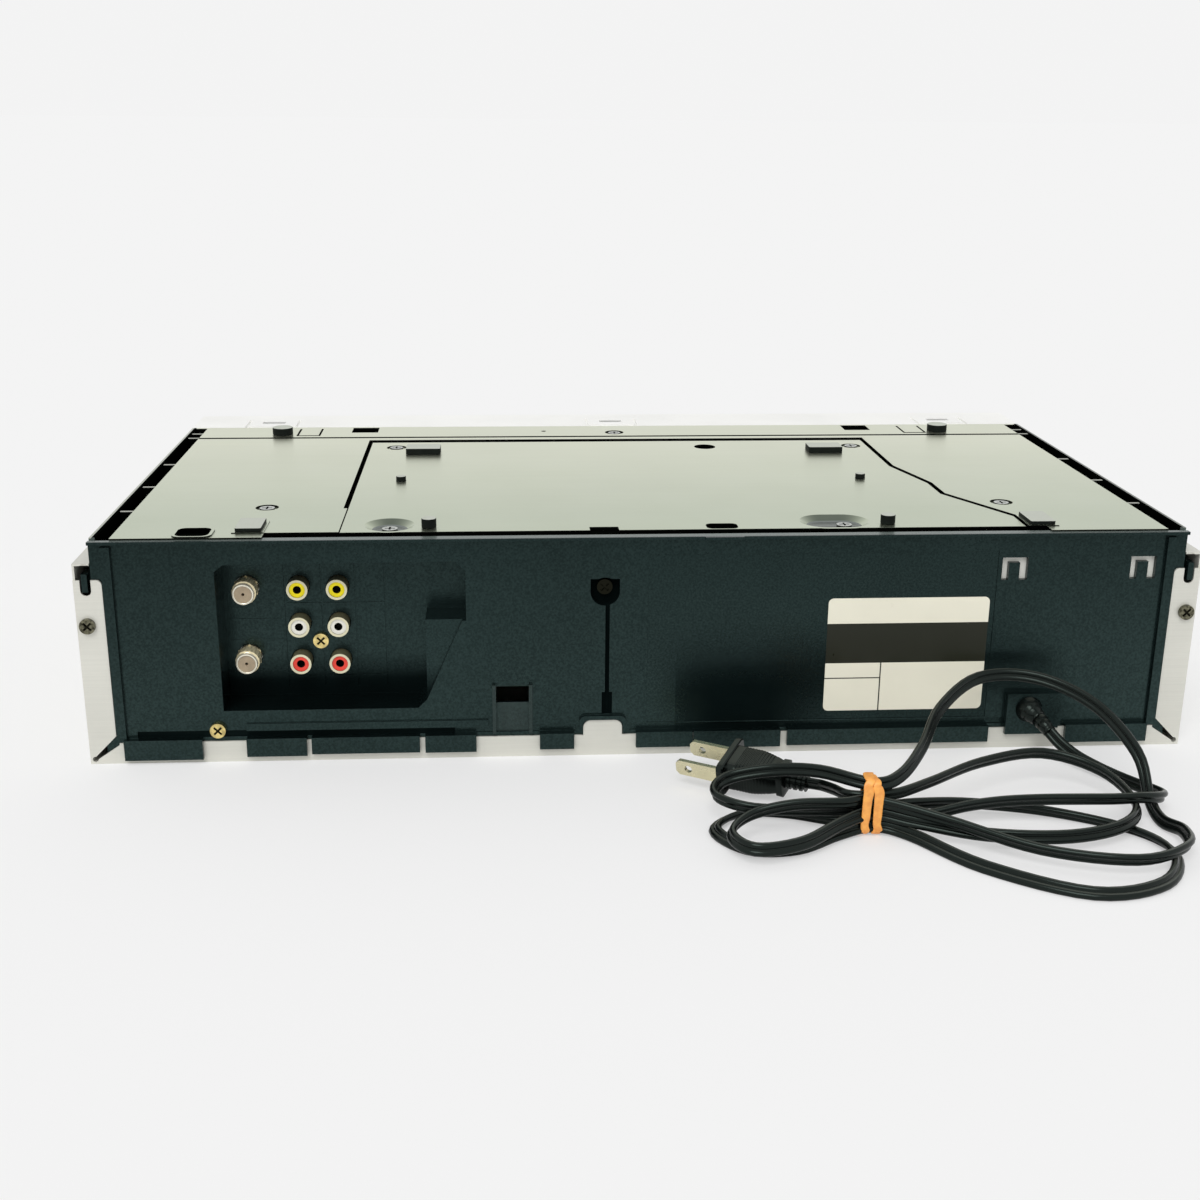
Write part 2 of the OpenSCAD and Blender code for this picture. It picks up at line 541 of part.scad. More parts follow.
module service_plate() color([0.72, 0.74, 0.67]) seat() difference() {
  union() {
    translate([0, 0, plate_z]) linear_extrude(plate_t - 0.2) polygon(inset(service, seam));
    dish(dish_screw_at[0], dish_r + 1.4, plate_z - dish_depth + 0.6, case_h - 0.2, 0);
    dish(dish_screw_at[1], dish_r + 1.4, plate_z - dish_depth + 0.6, case_h - 0.2, 8);
  }
  dish(dish_screw_at[0], dish_r, case_h - 0.2 - dish_depth, case_h, 0);
  dish(dish_screw_at[1], dish_r, case_h - 0.2 - dish_depth, case_h, 8);
  for (p = [plate_screw_at[3], plate_screw_at[4]]) {
    rod_z(p[0], p[1], screw_r + 0.3, plate_z - 1, case_h + 1);
    rod_z(p[0], p[1], dimple_r, case_h - 0.9, case_h + 1);
  }
  for (p = dish_screw_at) rod_z(p[0], p[1], screw_r + 0.3, plate_z - 6, case_h + 1);
  for (p = pin_hole_at) rod_z(p[0], p[1], 2.2, plate_z - 1, case_h + 1);
  rod_z(40.7, gap_line_y - 18.6, 5, plate_z - 1, case_h + 1);
  box(-22.3, -11.2, 5, 13, plate_z - 1, case_h + 1);
  translate([0, 0, plate_z - 1]) linear_extrude(plate_t + 2)
    polygon(rounded(rect(22.8, 35, 9, 16.6), 2.4));
  for (p = rear_foot_at) rod_z(p[0], p[1], 1.5 + run, plate_z - 1, case_h + 1);
  for (p = front_pad_at) rod_z(p[0], p[1], 1.5 + run, plate_z - 1, case_h + 1);
}

module plate_screw(p, z) difference() {
  union() {
    rod_z(p[0], p[1], screw_head_r, z, z + 0.8);
    rod_z(p[0], p[1], screw_r, z - 5, z + 0.01);
  }
  cross_z(p[0], p[1], z + 0.8, 4);
}

module plate_screws() color("silver") seat() {
  for (p = plate_screw_at) plate_screw(p, case_h - 0.9);
  for (p = dish_screw_at) plate_screw(p, case_h - 0.2 - dish_depth);
}

module pad(p, size, h, stem) {
  translate([p[0], p[1], case_h + stem]) linear_extrude(h - stem)
    polygon(rounded(rect(-size[0] / 2, size[0] / 2, -size[1] / 2, size[1] / 2), 0.6, 2));
}

module foot_pads() color([0.13, 0.13, 0.12]) seat() {
  for (p = rear_pad_at) pad(p, rear_pad, rear_pad_h, 0.3);
  for (p = front_pad_at) {
    pad(p, front_pad, front_pad_h, -0.2);
    rod_z(p[0], p[1], 1.5, plate_z, case_h);
  }
}

module round_foot(p, d, z, stem) difference() {
  union() {
    rod_z(p[0], p[1], d / 2, z, case_h + foot_h);
    rod_z(p[0], p[1], stem, plate_z, z + 0.01);
  }
  translate([p[0], p[1], case_h + foot_h + d]) sphere(r = d * 1.08);
}

module round_feet() color([0.1, 0.1, 0.1]) seat() {
  for (p = front_foot_at) round_foot(p, knob_d, case_h, 2);
  for (p = rear_foot_at) round_foot(p, peg_d, case_h - 0.2, 1.5);
  for (p = pin_hole_at) rod_z(p[0], p[1], 2.1, plate_z, case_h + 2);
}

module rating_label() color([0.9, 0.88, 0.78]) seat() {
  slab(panel_y + field_depth - label_t, panel_y + field_depth)
    polygon(rounded(rect(label[0], label[1], label[2], label[3]), 2));
}

module inner_shield() color("silver") seat() {
  box(132, channel_in - 2, panel_back, panel_back + 0.9, vent_low - 9.8, floor_z - 1.5);
  box(132, channel_in - 2, panel_back + 0.1, panel_back + 12, vent_low - 9.8, vent_low - 9);
}

// ---- Sockets ----

module aerial_sockets() color([0.75, 0.7, 0.55]) seat() for (p = aerial_at) difference() {
  union() {
    rod_y(p[0], p[1], aerial_d / 2, bay_floor - aerial_len, bay_floor + 4);
    translate([p[0], bay_floor, p[1]]) rotate([90, 0, 0]) cylinder(r = 6.3, h = 2.6, $fn = 6);
    rod_y(p[0], p[1], aerial_d / 2 + 0.9, bay_floor - aerial_len * 0.6, bay_floor - 2.5);
  }
  rod_y(p[0], p[1], aerial_d / 2 - 1.2, bay_floor - aerial_len - 1, bay_floor - aerial_len + 7);
  rod_y(p[0], p[1], 1.5, bay_floor - aerial_len, bay_floor + 5);
}

module aerial_insulators() color("tan") seat() for (p = aerial_at) difference() {
  rod_y(p[0], p[1], aerial_d / 2 - 1.2, bay_floor - aerial_len + 0.4, bay_floor - aerial_len + 7);
  rod_y(p[0], p[1], 0.6, bay_floor - aerial_len - 1, bay_floor - aerial_len + 5);
}

module at_pins(rows) for (i = [0, 1], j = rows)
  translate([pin_x + i * pin_pitch, 0, pin_z + j * pin_pitch]) children();

module pin_shells() color([0.8, 0.78, 0.7]) seat() at_pins([0:2]) difference() {
  rod_y(0, 0, pin_d / 2, bay_floor - pin_len, bay_floor + 4);
  rod_y(0, 0, pin_d / 2 - pin_wall, bay_floor - pin_len - 1, bay_floor + 5);
}

module pin_insert() difference() {
  rod_y(0, 0, pin_d / 2 - pin_wall, bay_floor - pin_len + 0.5, bay_floor + 4);
  rod_y(0, 0, 1.6, bay_floor - pin_len - 1, bay_floor + 2);
}
module pin_yellow() color("gold") seat() at_pins([2]) pin_insert();
module pin_white() color("white") seat() at_pins([1]) pin_insert();
module pin_red() color("firebrick") seat() at_pins([0]) pin_insert();

module socket_screws() color("goldenrod") seat() {
  for (q = [[bay_screw_at, bay_floor], [panel_screw_at, panel_y]]) difference() {
    union() {
      rod_y(q[0][0], q[0][1], screw_head_r, q[1] - 1.8, q[1]);
      rod_y(q[0][0], q[0][1], screw_r, q[1], q[1] + 5);
    }
    cross_y(q[0][0], q[0][1], q[1] - 1.8, 4);
  }
}

// ---- Electronics ----

module tuner_box() color("silver") seat() {
  tuner_low = aerial_at[1][1] - 8.4;
  difference() {
    box(-163, -145, bay_floor + 4, bay_floor + 54, tuner_low, board_z - 1);
    box(-162.4, -145.6, bay_floor + 4.6, bay_floor + 53.4, tuner_low + 0.6, board_z);
  }
  for (y = [bay_floor + 4, bay_floor + 53.4]) box(-153, -151, y, y + 0.6, board_z - 1.01, board_z);
}

module socket_block() color([0.08, 0.08, 0.08]) seat() difference() {
  box(pin_x - 6, pin_x + pin_pitch + 6, bay_floor + 4, bay_floor + 14, pin_z - 7, board_z);
  rod_y(bay_screw_at[0], bay_screw_at[1], 3.6, bay_floor + 3, bay_floor + 8);
}

module main_board() color("darkgreen") seat() {
  box(-channel_in + 4, -112, bay_floor + 4, case_d - 10, board_z, board_z + board_t);
  for (x = [-channel_in + 6, -122], y = [30, case_d - 18]) rod_z(x, y, 2.5, board_z + board_t, floor_z);
  for (p = [[-180, 90, 22, 22], [-150, 120, 18, 12], [-178, 150, 14, 10], [-140, 165, 20, 14]])
    box(p[0] - p[2] / 2, p[0] + p[2] / 2, p[1] - p[3] / 2, p[1] + p[3] / 2, board_z - 2.5, board_z);
}

module power_board() color([0.55, 0.42, 0.2]) seat() {
  box(124, channel_in - 4, 16, 150, board_z, board_z + board_t);
  for (x = [152.5, channel_in - 6], y = [20, 146]) rod_z(x, y, 2.5, board_z + board_t, floor_z);
}

module transformer() color("goldenrod") seat() {
  box(140, 168, 84, 112, board_z - 27, board_z - 8);
  box(136, 172, 80, 116, board_z - 8, board_z);
  box(140, 168, 84, 112, board_z - 33, board_z - 27);
}

module capacitors() color([0.1, 0.12, 0.3]) seat() {
  // place from the channel, depth, radius and height
  for (p = [[21, 40, 9, 30], [40, 134, 6, 20], [15, 66, 5, 16], [25, 128, 6.5, 22]])
    rod_z(channel_in - p[0], p[1], p[2], board_z - p[3], board_z);
}

module heat_sink() color("lightgray") seat() {
  box(136, 140, 26, 70, board_z - 35, board_z);
  for (y = [28:8:68]) box(124.5, 136.01, y - 0.8, y + 0.8, board_z - 35, board_z - 6);
}

// ---- Tape deck ----

module at_drum() translate([0, drum_y, deck_z]) rotate([drum_tilt, 0, 0]) children();

function guide_dir(s) = [s * (guide_end[0] - guide_start[0]), guide_end[1] - guide_start[1]];

module guide_slot(s) {
  d = guide_dir(s) / norm(guide_dir(s));
  a = [s * guide_start[0], guide_start[1]];
  b = a + d * guide_travel;
  translate([0, 0, deck_z - 1]) linear_extrude(deck_t + 2) {
    translate(a) circle(r = guide_r - 0.6);
    translate(b) circle(r = guide_r - 0.6);
    polygon([a + [d[1], -d[0]] * (guide_r - 0.7), b + [d[1], -d[0]] * (guide_r - 0.7),
      b - [d[1], -d[0]] * (guide_r - 0.7), a - [d[1], -d[0]] * (guide_r - 0.7)]);
  }
}

module deck_plate() color("lightsteelblue") seat() difference() {
  union() {
    translate([0, 0, deck_z]) linear_extrude(deck_t)
      polygon(rounded(rect(-deck_x, deck_x, deck_y[0], deck_y[1]), 6));
    for (p = pillar_at) rod_z(p[0], p[1], pillar_r, deck_z + deck_t - 0.01, floor_z);
    for (s = [-1, 1]) rod_z(s * reel_pitch / 2, reel_y, reel_pin_r, deck_z - 15, deck_z + 0.01);
    rod_z(pulley_at[0], pulley_at[1], reel_pin_r, deck_z, deck_z + deck_t + 9);
    rod_z(arm_at[0], arm_at[1], arm_pin_r, deck_z - 22, deck_z + 0.01);
    rod_z(gear_at[0], gear_at[1], reel_pin_r, deck_z, deck_z + deck_t + 8);
    // boss that carries the drum's foot
    for (x = [-22, 22]) rod_z(x, drum_y, 4, deck_z - 3.4, deck_z + 0.01);
  }
  for (s = [-1, 1]) guide_slot(s);
  rod_z(capstan_at[0], capstan_at[1], 4.6, deck_z - 1, deck_z + deck_t + 1);
  for (x = [-60, 60]) rod_z(x, deck_y[1] - 16, 6, deck_z - 1, deck_z + deck_t + 1);
}

module drum_lower() color("silver") seat() difference() {
  union() {
    at_drum() translate([0, 0, -drum_h - 6]) cylinder(r = drum_d / 2, h = drum_h, $fn = 96);
    at_drum() translate([0, 0, -drum_h - drum_gap - 16.4]) cylinder(r = 3, h = 14);
    box(-26, 26, drum_y - 5, drum_y + 5, deck_z - 8, deck_z - 3.4);
  }
  at_drum() translate([0, 0, -drum_h - 8]) rotate_extrude() polygon(rect(12, drum_d / 2 - 3, 1, 4));
}

module drum_upper() color([0.85, 0.86, 0.88]) seat() at_drum() difference() {
  translate([0, 0, -drum_h * 2 - 6 - drum_gap]) cylinder(r = drum_d / 2, h = drum_h, $fn = 96);
  translate([0, 0, -drum_h * 2 - 7 - drum_gap]) cylinder(r = 3 + run, h = drum_h + 2);
  translate([0, 0, -drum_h * 2 - 7 - drum_gap]) cylinder(r = 14, h = 5);
  for (a = [0:90:270]) rotate([0, 0, a]) translate([22, 0, -drum_h * 2 - 7 - drum_gap]) cylinder(r = 2, h = 4);
}

module reel(s) translate([s * reel_pitch / 2, reel_y, 0]) difference() {
  union() {
    rod_z(0, 0, reel_d / 2, deck_z - 4.5, deck_z - 0.4);
    rod_z(0, 0, 10.5, deck_z - 7, deck_z - 4.49);
    rod_z(0, 0, 4.2, deck_z - 14, deck_z - 6.99);
    for (a = [0:120:240]) rotate([0, 0, a]) box(3.9, 6, -0.8, 0.8, deck_z - 13, deck_z - 6.99);
  }
  rod_z(0, 0, reel_pin_r + run, deck_z - 16, deck_z + 1);
}
module supply_reel() color([0.15, 0.15, 0.16]) seat() reel(-1);
module take_up_reel() color([0.15, 0.15, 0.16]) seat() reel(1);

module capstan() color("silver") seat() translate([capstan_at[0], capstan_at[1], 0]) {
  rod_z(0, 0, capstan_d / 2, deck_z - 22, deck_z + deck_t + 9);
  rod_z(0, 0, 17, deck_z + deck_t + 3, deck_z + deck_t + 6);
  rod_z(0, 0, capstan_pulley_r, deck_z + deck_t + 5.99, deck_z + deck_t + 9);
}

module capstan_motor() color([0.35, 0.36, 0.38]) seat() difference() {
  union() {
    rod_z(capstan_at[0], capstan_at[1], 4.4, deck_z - 4, deck_z + deck_t + 2);
    rod_z(capstan_at[0], capstan_at[1], 19, deck_z + deck_t, deck_z + deck_t + 2);
  }
  rod_z(capstan_at[0], capstan_at[1], capstan_d / 2 + run, deck_z - 9, deck_z + deck_t + 3);
}

// Belt round the capstan's pulley and the reels' pulley, as four arcs' outline
function belt_outline(r1, r2) =
  let (d = pulley_at - capstan_at, a = atan2(d[1], d[0]), h = acos((r1 - r2) / norm(d)))
  concat([for (i = [0:16]) capstan_at + r1 * [cos(a + h + (360 - 2 * h) * i / 16), sin(a + h + (360 - 2 * h) * i / 16)]],
    [for (i = [0:16]) pulley_at + r2 * [cos(a - h + 2 * h * i / 16), sin(a - h + 2 * h * i / 16)]]);

module drive_belt() color([0.1, 0.1, 0.1]) seat() translate([0, 0, deck_z + deck_t + 6.6])
  linear_extrude(1.8) difference() {
    polygon(belt_outline(capstan_pulley_r + fit + belt_t, reel_pulley_r + fit + belt_t));
    polygon(belt_outline(capstan_pulley_r + fit, reel_pulley_r + fit));
  }

module reel_pulley() color("ivory") seat() difference() {
  union() {
    rod_z(pulley_at[0], pulley_at[1], reel_pulley_r, deck_z + deck_t + 5.99, deck_z + deck_t + 9);
    rod_z(pulley_at[0], pulley_at[1], 5, deck_z + deck_t + 0.3, deck_z + deck_t + 6);
  }
  rod_z(pulley_at[0], pulley_at[1], reel_pin_r + run, deck_z, deck_z + deck_t + 10);
}

// Pinch arm at rest, swung arm_turn away from where its roller meets the capstan
function roller_touch() = capstan_d / 2 + roller_d / 2 + fit;
function arm_rest_angle() =
  let (d = capstan_at - arm_at, l = norm(d),
    k = (arm_reach * arm_reach + l * l - roller_touch() * roller_touch()) / (2 * arm_reach * l))
  atan2(d[1], d[0]) - acos(min(1, k)) - arm_turn;
roller_at = arm_at + arm_reach * [cos(arm_rest_angle()), sin(arm_rest_angle())];

module pinch_arm() color("slategray") seat() {
  difference() {
    union() {
      rod_z(arm_at[0], arm_at[1], 4.2, deck_z - 20, deck_z - 0.4);
      rod_z(roller_at[0], roller_at[1], 3.4, deck_z - 4, deck_z - 1.6);
      translate([arm_at[0], arm_at[1], deck_z - 4]) rotate([0, 0, arm_rest_angle()])
        translate([0, -3, 0]) cube([arm_reach, 6, 2.4]);
      rod_z(roller_at[0], roller_at[1], 1.5, deck_z - 19, deck_z - 3.9);
    }
    rod_z(arm_at[0], arm_at[1], arm_pin_r + run, deck_z - 23, deck_z + 1);
  }
}

module pinch_roller() color([0.12, 0.12, 0.12]) seat()
  ring_z(roller_at[0], roller_at[1], roller_d / 2, 1.5 + run, deck_z - 18, deck_z - 4.5);

module guide(s) translate([s * guide_start[0], guide_start[1], 0]) {
  rod_z(0, 0, guide_r + 2, deck_z - 4, deck_z - 0.3);
  rod_z(0, 0, guide_r - 1, deck_z - 18, deck_z - 3.99);
  rod_z(0, 0, guide_r, deck_z - 20, deck_z - 17.99);
  rod_z(0, 0, guide_r - 0.9, deck_z - 0.31, deck_z + deck_t + 1.6);
  rod_z(0, 0, guide_r + 1, deck_z + deck_t + 0.3, deck_z + deck_t + 1.6);
}
module supply_guide() color("silver") seat() guide(-1);
module take_up_guide() color("silver") seat() guide(1);

module loading_gear() color("ivory") seat() difference() {
  union() {
    rod_z(gear_at[0], gear_at[1], gear_r - 1, deck_z + deck_t + 2, deck_z + deck_t + 6);
    for (a = [0:15:345]) translate([gear_at[0], gear_at[1], deck_z + deck_t + 2]) rotate([0, 0, a])
      translate([gear_r - 1.6, -0.9, 0]) cube([1.9, 1.8, 4]);
    rod_z(gear_at[0], gear_at[1], 4.5, deck_z + deck_t + 0.3, deck_z + deck_t + 7);
  }
  rod_z(gear_at[0], gear_at[1], reel_pin_r + run, deck_z, deck_z + deck_t + 12);
}

module loading_motor() color([0.5, 0.5, 0.52]) seat() {
  translate([gear_at[0] - 24, gear_at[1] - 40, deck_z - 9]) rotate([-90, 0, 0]) cylinder(r = 8.9, h = 26);
  translate([gear_at[0] - 24, gear_at[1] - 14.01, deck_z - 9]) rotate([-90, 0, 0]) cylinder(r = 1, h = 12);
  translate([gear_at[0] - 24, gear_at[1] - 11, deck_z - 9]) rotate([-90, 0, 0]) cylinder(r = 3, h = 8);
}

module tape_heads() color("dimgray") seat() {
  box(-66, -56, 66, 78, deck_z - 18, deck_z);
  box(50, 58, 68, 78, deck_z - 18, deck_z);
}

module tape_carriage() color("lightgray") seat() both_sides() {
  box(-1, holder_x + 2, holder_y[1] - 12, holder_y[1] - 5, deck_z - 4.4, deck_z - 2);
  box(holder_x + 1.6, holder_x + 2.6, holder_y[0] + 4, holder_y[1] - 4, holder_z[0] + 2, deck_z - 2);
  box(holder_x + 0.6, holder_x + 2.6, holder_y[0] + 10, holder_y[0] + 16, holder_z[0] - 2, holder_z[0] + 2.01);
  box(holder_x + 2.59, rail_x - 0.01, holder_y[0] + 10, holder_y[1] - 20, deck_z - 4, deck_z - 2);
  box(rail_x - 0.7, rail_x, holder_y[0] + 10, holder_y[1] - 20, deck_z - 4, deck_z - 0.3);
}

module tape_holder() color("silver") seat() {
  box(-holder_x, holder_x, holder_y[0], holder_y[1], holder_z[0], holder_z[0] + holder_t);
  both_sides() {
    box(holder_x - holder_t, holder_x, holder_y[0], holder_y[1], holder_z[0], holder_z[1]);
    box(holder_x - 9, holder_x, holder_y[0], holder_y[1], holder_z[1] - holder_t, holder_z[1]);
    box(holder_x - 0.01, holder_x + 1.3, holder_y[0] + 40, holder_y[0] + 46, holder_z[0] + 8, holder_z[0] + 12);
  }
}

// ---- Front ----

// The front panel's outline follows the cover and, above its folded edges, the frame
module front_shell() difference() {
  union() {
    box(-cover_x, cover_x, case_d + 0.2, front_y, 0, fold_z);
    box(-frame_x, frame_x, case_d + 0.2, front_y, 0, case_h);
  }
  box(-cover_x + front_wall, cover_x - front_wall, case_d - 1, front_y - front_wall - 0.5, front_wall,
    fold_z - front_wall);
  box(-frame_x + front_wall, frame_x - front_wall, case_d - 1, front_y - front_wall - 0.5, front_wall,
    case_h - front_wall);
}

module front_panel() color([0.9, 0.9, 0.9]) seat() difference() {
  union() {
    front_shell();
    // ears that carry the flap's pins
    both_sides() box(slot_w / 2 + 1, slot_w / 2 + 5, flap_y - 5, front_y - front_wall, front_wall - 0.01, flap_z + 5);
    // guides of the buttons
    for (b = button_rows) box(b[0] - b[2] / 2 - 1.4, b[0] + b[2] / 2 + 1.4, board_y + 5, front_y - 1,
      b[1] - b[3] / 2 - 1.4, b[1] + b[3] / 2 + 1.4);
    for (x = [-170, 170]) box(x - 3, x + 3, board_y + 1.6, front_y - 1, 28, 34);
    box(-3, 3, board_y + 1.6, front_y - 1, window[3] + 2, window[3] + 8);
  }
  box(-slot_w / 2, slot_w / 2, case_d, front_y + 1, slot_z, slot_z + slot_h);
  both_sides() rod_x(slot_w / 2, slot_w / 2 + flap_ear, flap_y, flap_z, flap_pin_r + run);
  box(window[0] - 2, window[1] + 2, front_y - 2, front_y + 1, window[2] - 2, window[3] + 2);
  box(window[0], window[1], front_y - 6, front_y + 1, window[2], window[3]);
  for (b = button_rows) box(b[0] - b[2] / 2 - fit, b[0] + b[2] / 2 + fit, board_y, front_y + 1,
    b[1] - b[3] / 2 - fit, b[1] + b[3] / 2 + fit);
  for (x = socket_x) rod_y(x, front_socket_z, 5.2, front_y - 8, front_y + 1);
  // clip windows of the underside
  for (x = [-170, 0, 170]) {
    box(x - 5.6, x + 5.6, case_d + 10.4, case_d + 14.6, case_h - front_wall - 1, case_h + 1);
    box(x - 13, x + 13, case_d - 1, case_d + 4, case_h - 0.8, case_h + 1);
    for (s = [-1, 1]) box(x + s * 12.4 - 0.6, x + s * 12.4 + 0.6, case_d - 1, case_d + 18, case_h - 0.8, case_h + 1);
  }
}

// A rod along x from x0 to x1
module rod_x(x0, x1, y, z, r) translate([x0, y, z]) rotate([0, 90, 0]) cylinder(r = r, h = x1 - x0);

module cassette_flap() color([0.86, 0.87, 0.88]) seat() {
  w = slot_w / 2 - 0.5;
  box(-w, w, flap_y - 0.8, flap_y - 0.8 + flap_t, flap_z - 1, slot_z + slot_h - 0.6);
  both_sides() rod_x(w - 6, w + flap_ear, flap_y, flap_z, flap_pin_r);
}

module display_window() color([0.05, 0.06, 0.07, 0.8]) seat() {
  box(window[0] - 1.8, window[1] + 1.8, front_y - 2, front_y - 0.2, window[2] - 1.8, window[3] + 1.8);
  box(window[0] + 14, window[1] - 14, board_y + 1.6, board_y + 7, window[2] + 3, window[3] - 3);
}

module front_board() color("darkgreen") seat() {
  w = frame_x - front_wall - 2;
  box(-w, w, board_y, board_y + 1.6, slot_z + slot_h + 5, case_h - front_wall - 4);
  box(-w, -slot_w / 2 - 12, board_y, board_y + 1.6, 14, slot_z + slot_h + 5.01);
  for (b = button_rows) box(b[0] - 3, b[0] + 3, board_y + 1.59, board_y + 5.2, b[1] - 3, b[1] + 3);
  for (x = [-170, 0, 170]) box(x - 4, x + 4, board_y - 0.01, board_y + 1.6, case_h - front_wall - 4.01,
    case_h - front_wall);
}

module front_sockets() color("gold") seat() {
  for (x = socket_x) difference() {
    rod_y(x, front_socket_z, 4.6, board_y + 1.6, front_y - 0.6);
    rod_y(x, front_socket_z, 1.6, board_y + 6, front_y + 1);
  }
}

module button(i) {
  b = button_rows[i];
  box(b[0] - b[2] / 2, b[0] + b[2] / 2, board_y + 5.2 + button_travel + fit, front_y + button_proud,
    b[1] - b[3] / 2, b[1] + b[3] / 2);
}
module power_button() color("silver") seat() button(0);
module eject_button() color("silver") seat() button(1);
module play_button() color("silver") seat() button(2);
module stop_button() color("silver") seat() button(3);
module rewind_button() color("silver") seat() button(4);
module forward_button() color("silver") seat() button(5);

// ---- Cord ----

function unit(v) = v / norm(v);

// Rings of a tube along points p; each ring is square to the run there
function ring_at(p, i, r, n) =
  let (t = unit(p[min(i + 1, len(p) - 1)] - p[max(i - 1, 0)]), s = unit(cross([0, 0, 1], t)), u = cross(t, s))
  [for (k = [0:n - 1]) p[i] + r * (s * cos(360 * (k + 0.5) / n) + u * sin(360 * (k + 0.5) / n))];

module tube(p, r, n) {
  m = len(p);
  polyhedron([for (i = [0:m - 1]) each ring_at(p, i, r, n)],
    concat([[for (k = [0:n - 1]) k]], [for (i = [0:m - 2], k = [0:n - 1], h = [0, 1])
      h == 0 ? [i * n + k, (i + 1) * n + k, i * n + (k + 1) % n]
        : [i * n + (k + 1) % n, (i + 1) * n + k, (i + 1) * n + (k + 1) % n]],
    [[for (k = [n - 1:-1:0]) (m - 1) * n + k]]));
}

// Smooth curve through points p, with n steps from each to the next
function spline(p, n) = let (m = len(p) - 1) [p[0], for (i = [0:m - 1], k = [1:n])
  let (t = k / n, a = i > 0 ? p[i - 1] : 2 * p[0] - p[1], b = p[i], c = p[i + 1],
    d = i < m - 1 ? p[i + 2] : 2 * p[m] - p[m - 1])
  b + 0.5 * t * (c - a + t * (2 * a - 5 * b + 4 * c - d + t * (3 * b - a - 3 * c + d)))];

function row(k) = row_z + row_step * k;
// Where a strand passes the waist: the column nearer the case (1) or the other (-1), and the row
function pass(side, k) = [[waist[0], waist[1] + side * column, row(k)]];
function plug_tail(along) = plug_at + (plug_len + along) * [cos(plug_yaw), sin(plug_yaw), 0];
hank_route = spline(concat([lead_route[len(lead_route) - 1]], pass(1, 0), left_low, pass(-1, 0),
  right_low, pass(1, 1), left_high, pass(1, 3), right_arch, pass(-1, 2), left_front, pass(-1, 1),
  right_mid, pass(1, 2), tail, [plug_tail(0)]), spline_steps);

function route_length(p) = len(p) < 2 ? 0 : [for (i = 0, s = 0; i < len(p); s = s + (i + 1 < len(p) ?
  norm(p[i + 1] - p[i]) : 0), i = i + 1) s][len(p) - 1];

// Least distance between the hank's axis and itself, away from each point's own neighbours
function segment_gap(p, a, b) =
  let (t = max(0, min(1, (p - a) * (b - a) / ((b - a) * (b - a))))) norm(p - a - t * (b - a));
function self_gap(p) = min([for (i = [0:len(p) - 1], j = [0:len(p) - 2]) if (j > i + 2 || j < i - 3)
  segment_gap(p[i], p[j], p[j + 1])]);
echo(cord_length = route_length(lead_route) + route_length(hank_route));
echo(hank_least_gap = self_gap(hank_route) - cord_d);

module cord_bushing() color([0.06, 0.06, 0.06]) seat() {
  exit_dir = unit(lead_route[1] - lead_route[0]);
  rod_y(bushing_at[0], bushing_at[1], bushing_r, -tab_proud - 1, panel_back + 3);
  rod_y(bushing_at[0], bushing_at[1], bushing_r + 1, panel_back, panel_back + 1.4);
  for (d = [[4.6, -1.2], [3.9, -2]]) rod_y(bushing_at[0], bushing_at[1], d[0], d[1] - tab_proud, 0);
  translate(lead_route[0]) rotate([0, acos(exit_dir[2]), atan2(exit_dir[1], exit_dir[0])])
    translate([0, 0, -6]) cylinder(r = 2.6, h = 6);
}

module cord_lead() color([0.09, 0.09, 0.09]) seat() tube(lead_route, cord_d / 2, 8);
module cord_hank() color([0.09, 0.09, 0.09]) seat() tube(hank_route, cord_d / 2, cord_sides);

module at_plug() translate(plug_at) rotate([0, 0, plug_yaw]) rotate([plug_roll, 0, 0]) children();

module plug_body() color([0.07, 0.07, 0.07]) seat() at_plug() {
  translate([0, -plug_face[0] / 2, -plug_face[1] / 2]) cube([3, plug_face[0], plug_face[1]]);
  hull() {
    translate([2.9, -8, -5.8]) cube([12, 16, 11.6]);
    translate([2.9, -5.4, -4.4]) cube([19, 10.8, 8.8]);
  }
  translate([21.8, -5.6, -5.6]) cube([2.6, 11.2, 11.2]);
  translate([24.3, 0, 0]) rotate([0, 90, 0]) cylinder(r = 3, h = plug_len - 24.3);
  for (t = [25.8, 28]) translate([t, 0, 0]) rotate([0, 90, 0]) cylinder(r = 3.6, h = 1);
  translate([plug_len - 2, 0, 0]) rotate([0, 90, 0]) cylinder(r = 3.6, h = 2);
}

module plug_blades() color("silver") seat() at_plug() for (s = [-1, 1]) difference() {
  translate([-blade_len, s * blade_gap / 2 - blade[1] / 2, -blade[0] / 2]) cube([blade_len, blade[1], blade[0]]);
  translate([-blade_len + 5, s * blade_gap / 2 - 2, 0]) rotate([-90, 0, 0]) cylinder(r = 1.5, h = 4);
  for (t = [-1, 1]) translate([-blade_len, s * blade_gap / 2 - 2, t * blade[0] / 2]) rotate([0, 45, 0])
    cube([2, 8, 2], center = true);
}

module rubber_band() color("orange") seat() translate([waist[0] - band_w / 2, waist[1], 0])
  rotate([90, 0, 90]) linear_extrude(band_w) {
    low = row(0) - cord_d / 2 - 0.6;
    high = row(3) + cord_d / 2 + 0.6;
    half = column + cord_d / 2 + 0.5;
    difference() {
      polygon(rounded(rect(-half - band_t, half + band_t, low - band_t, high + band_t), 3));
      polygon(rounded(rect(-half, half, low, high), 2.4));
    }
  }

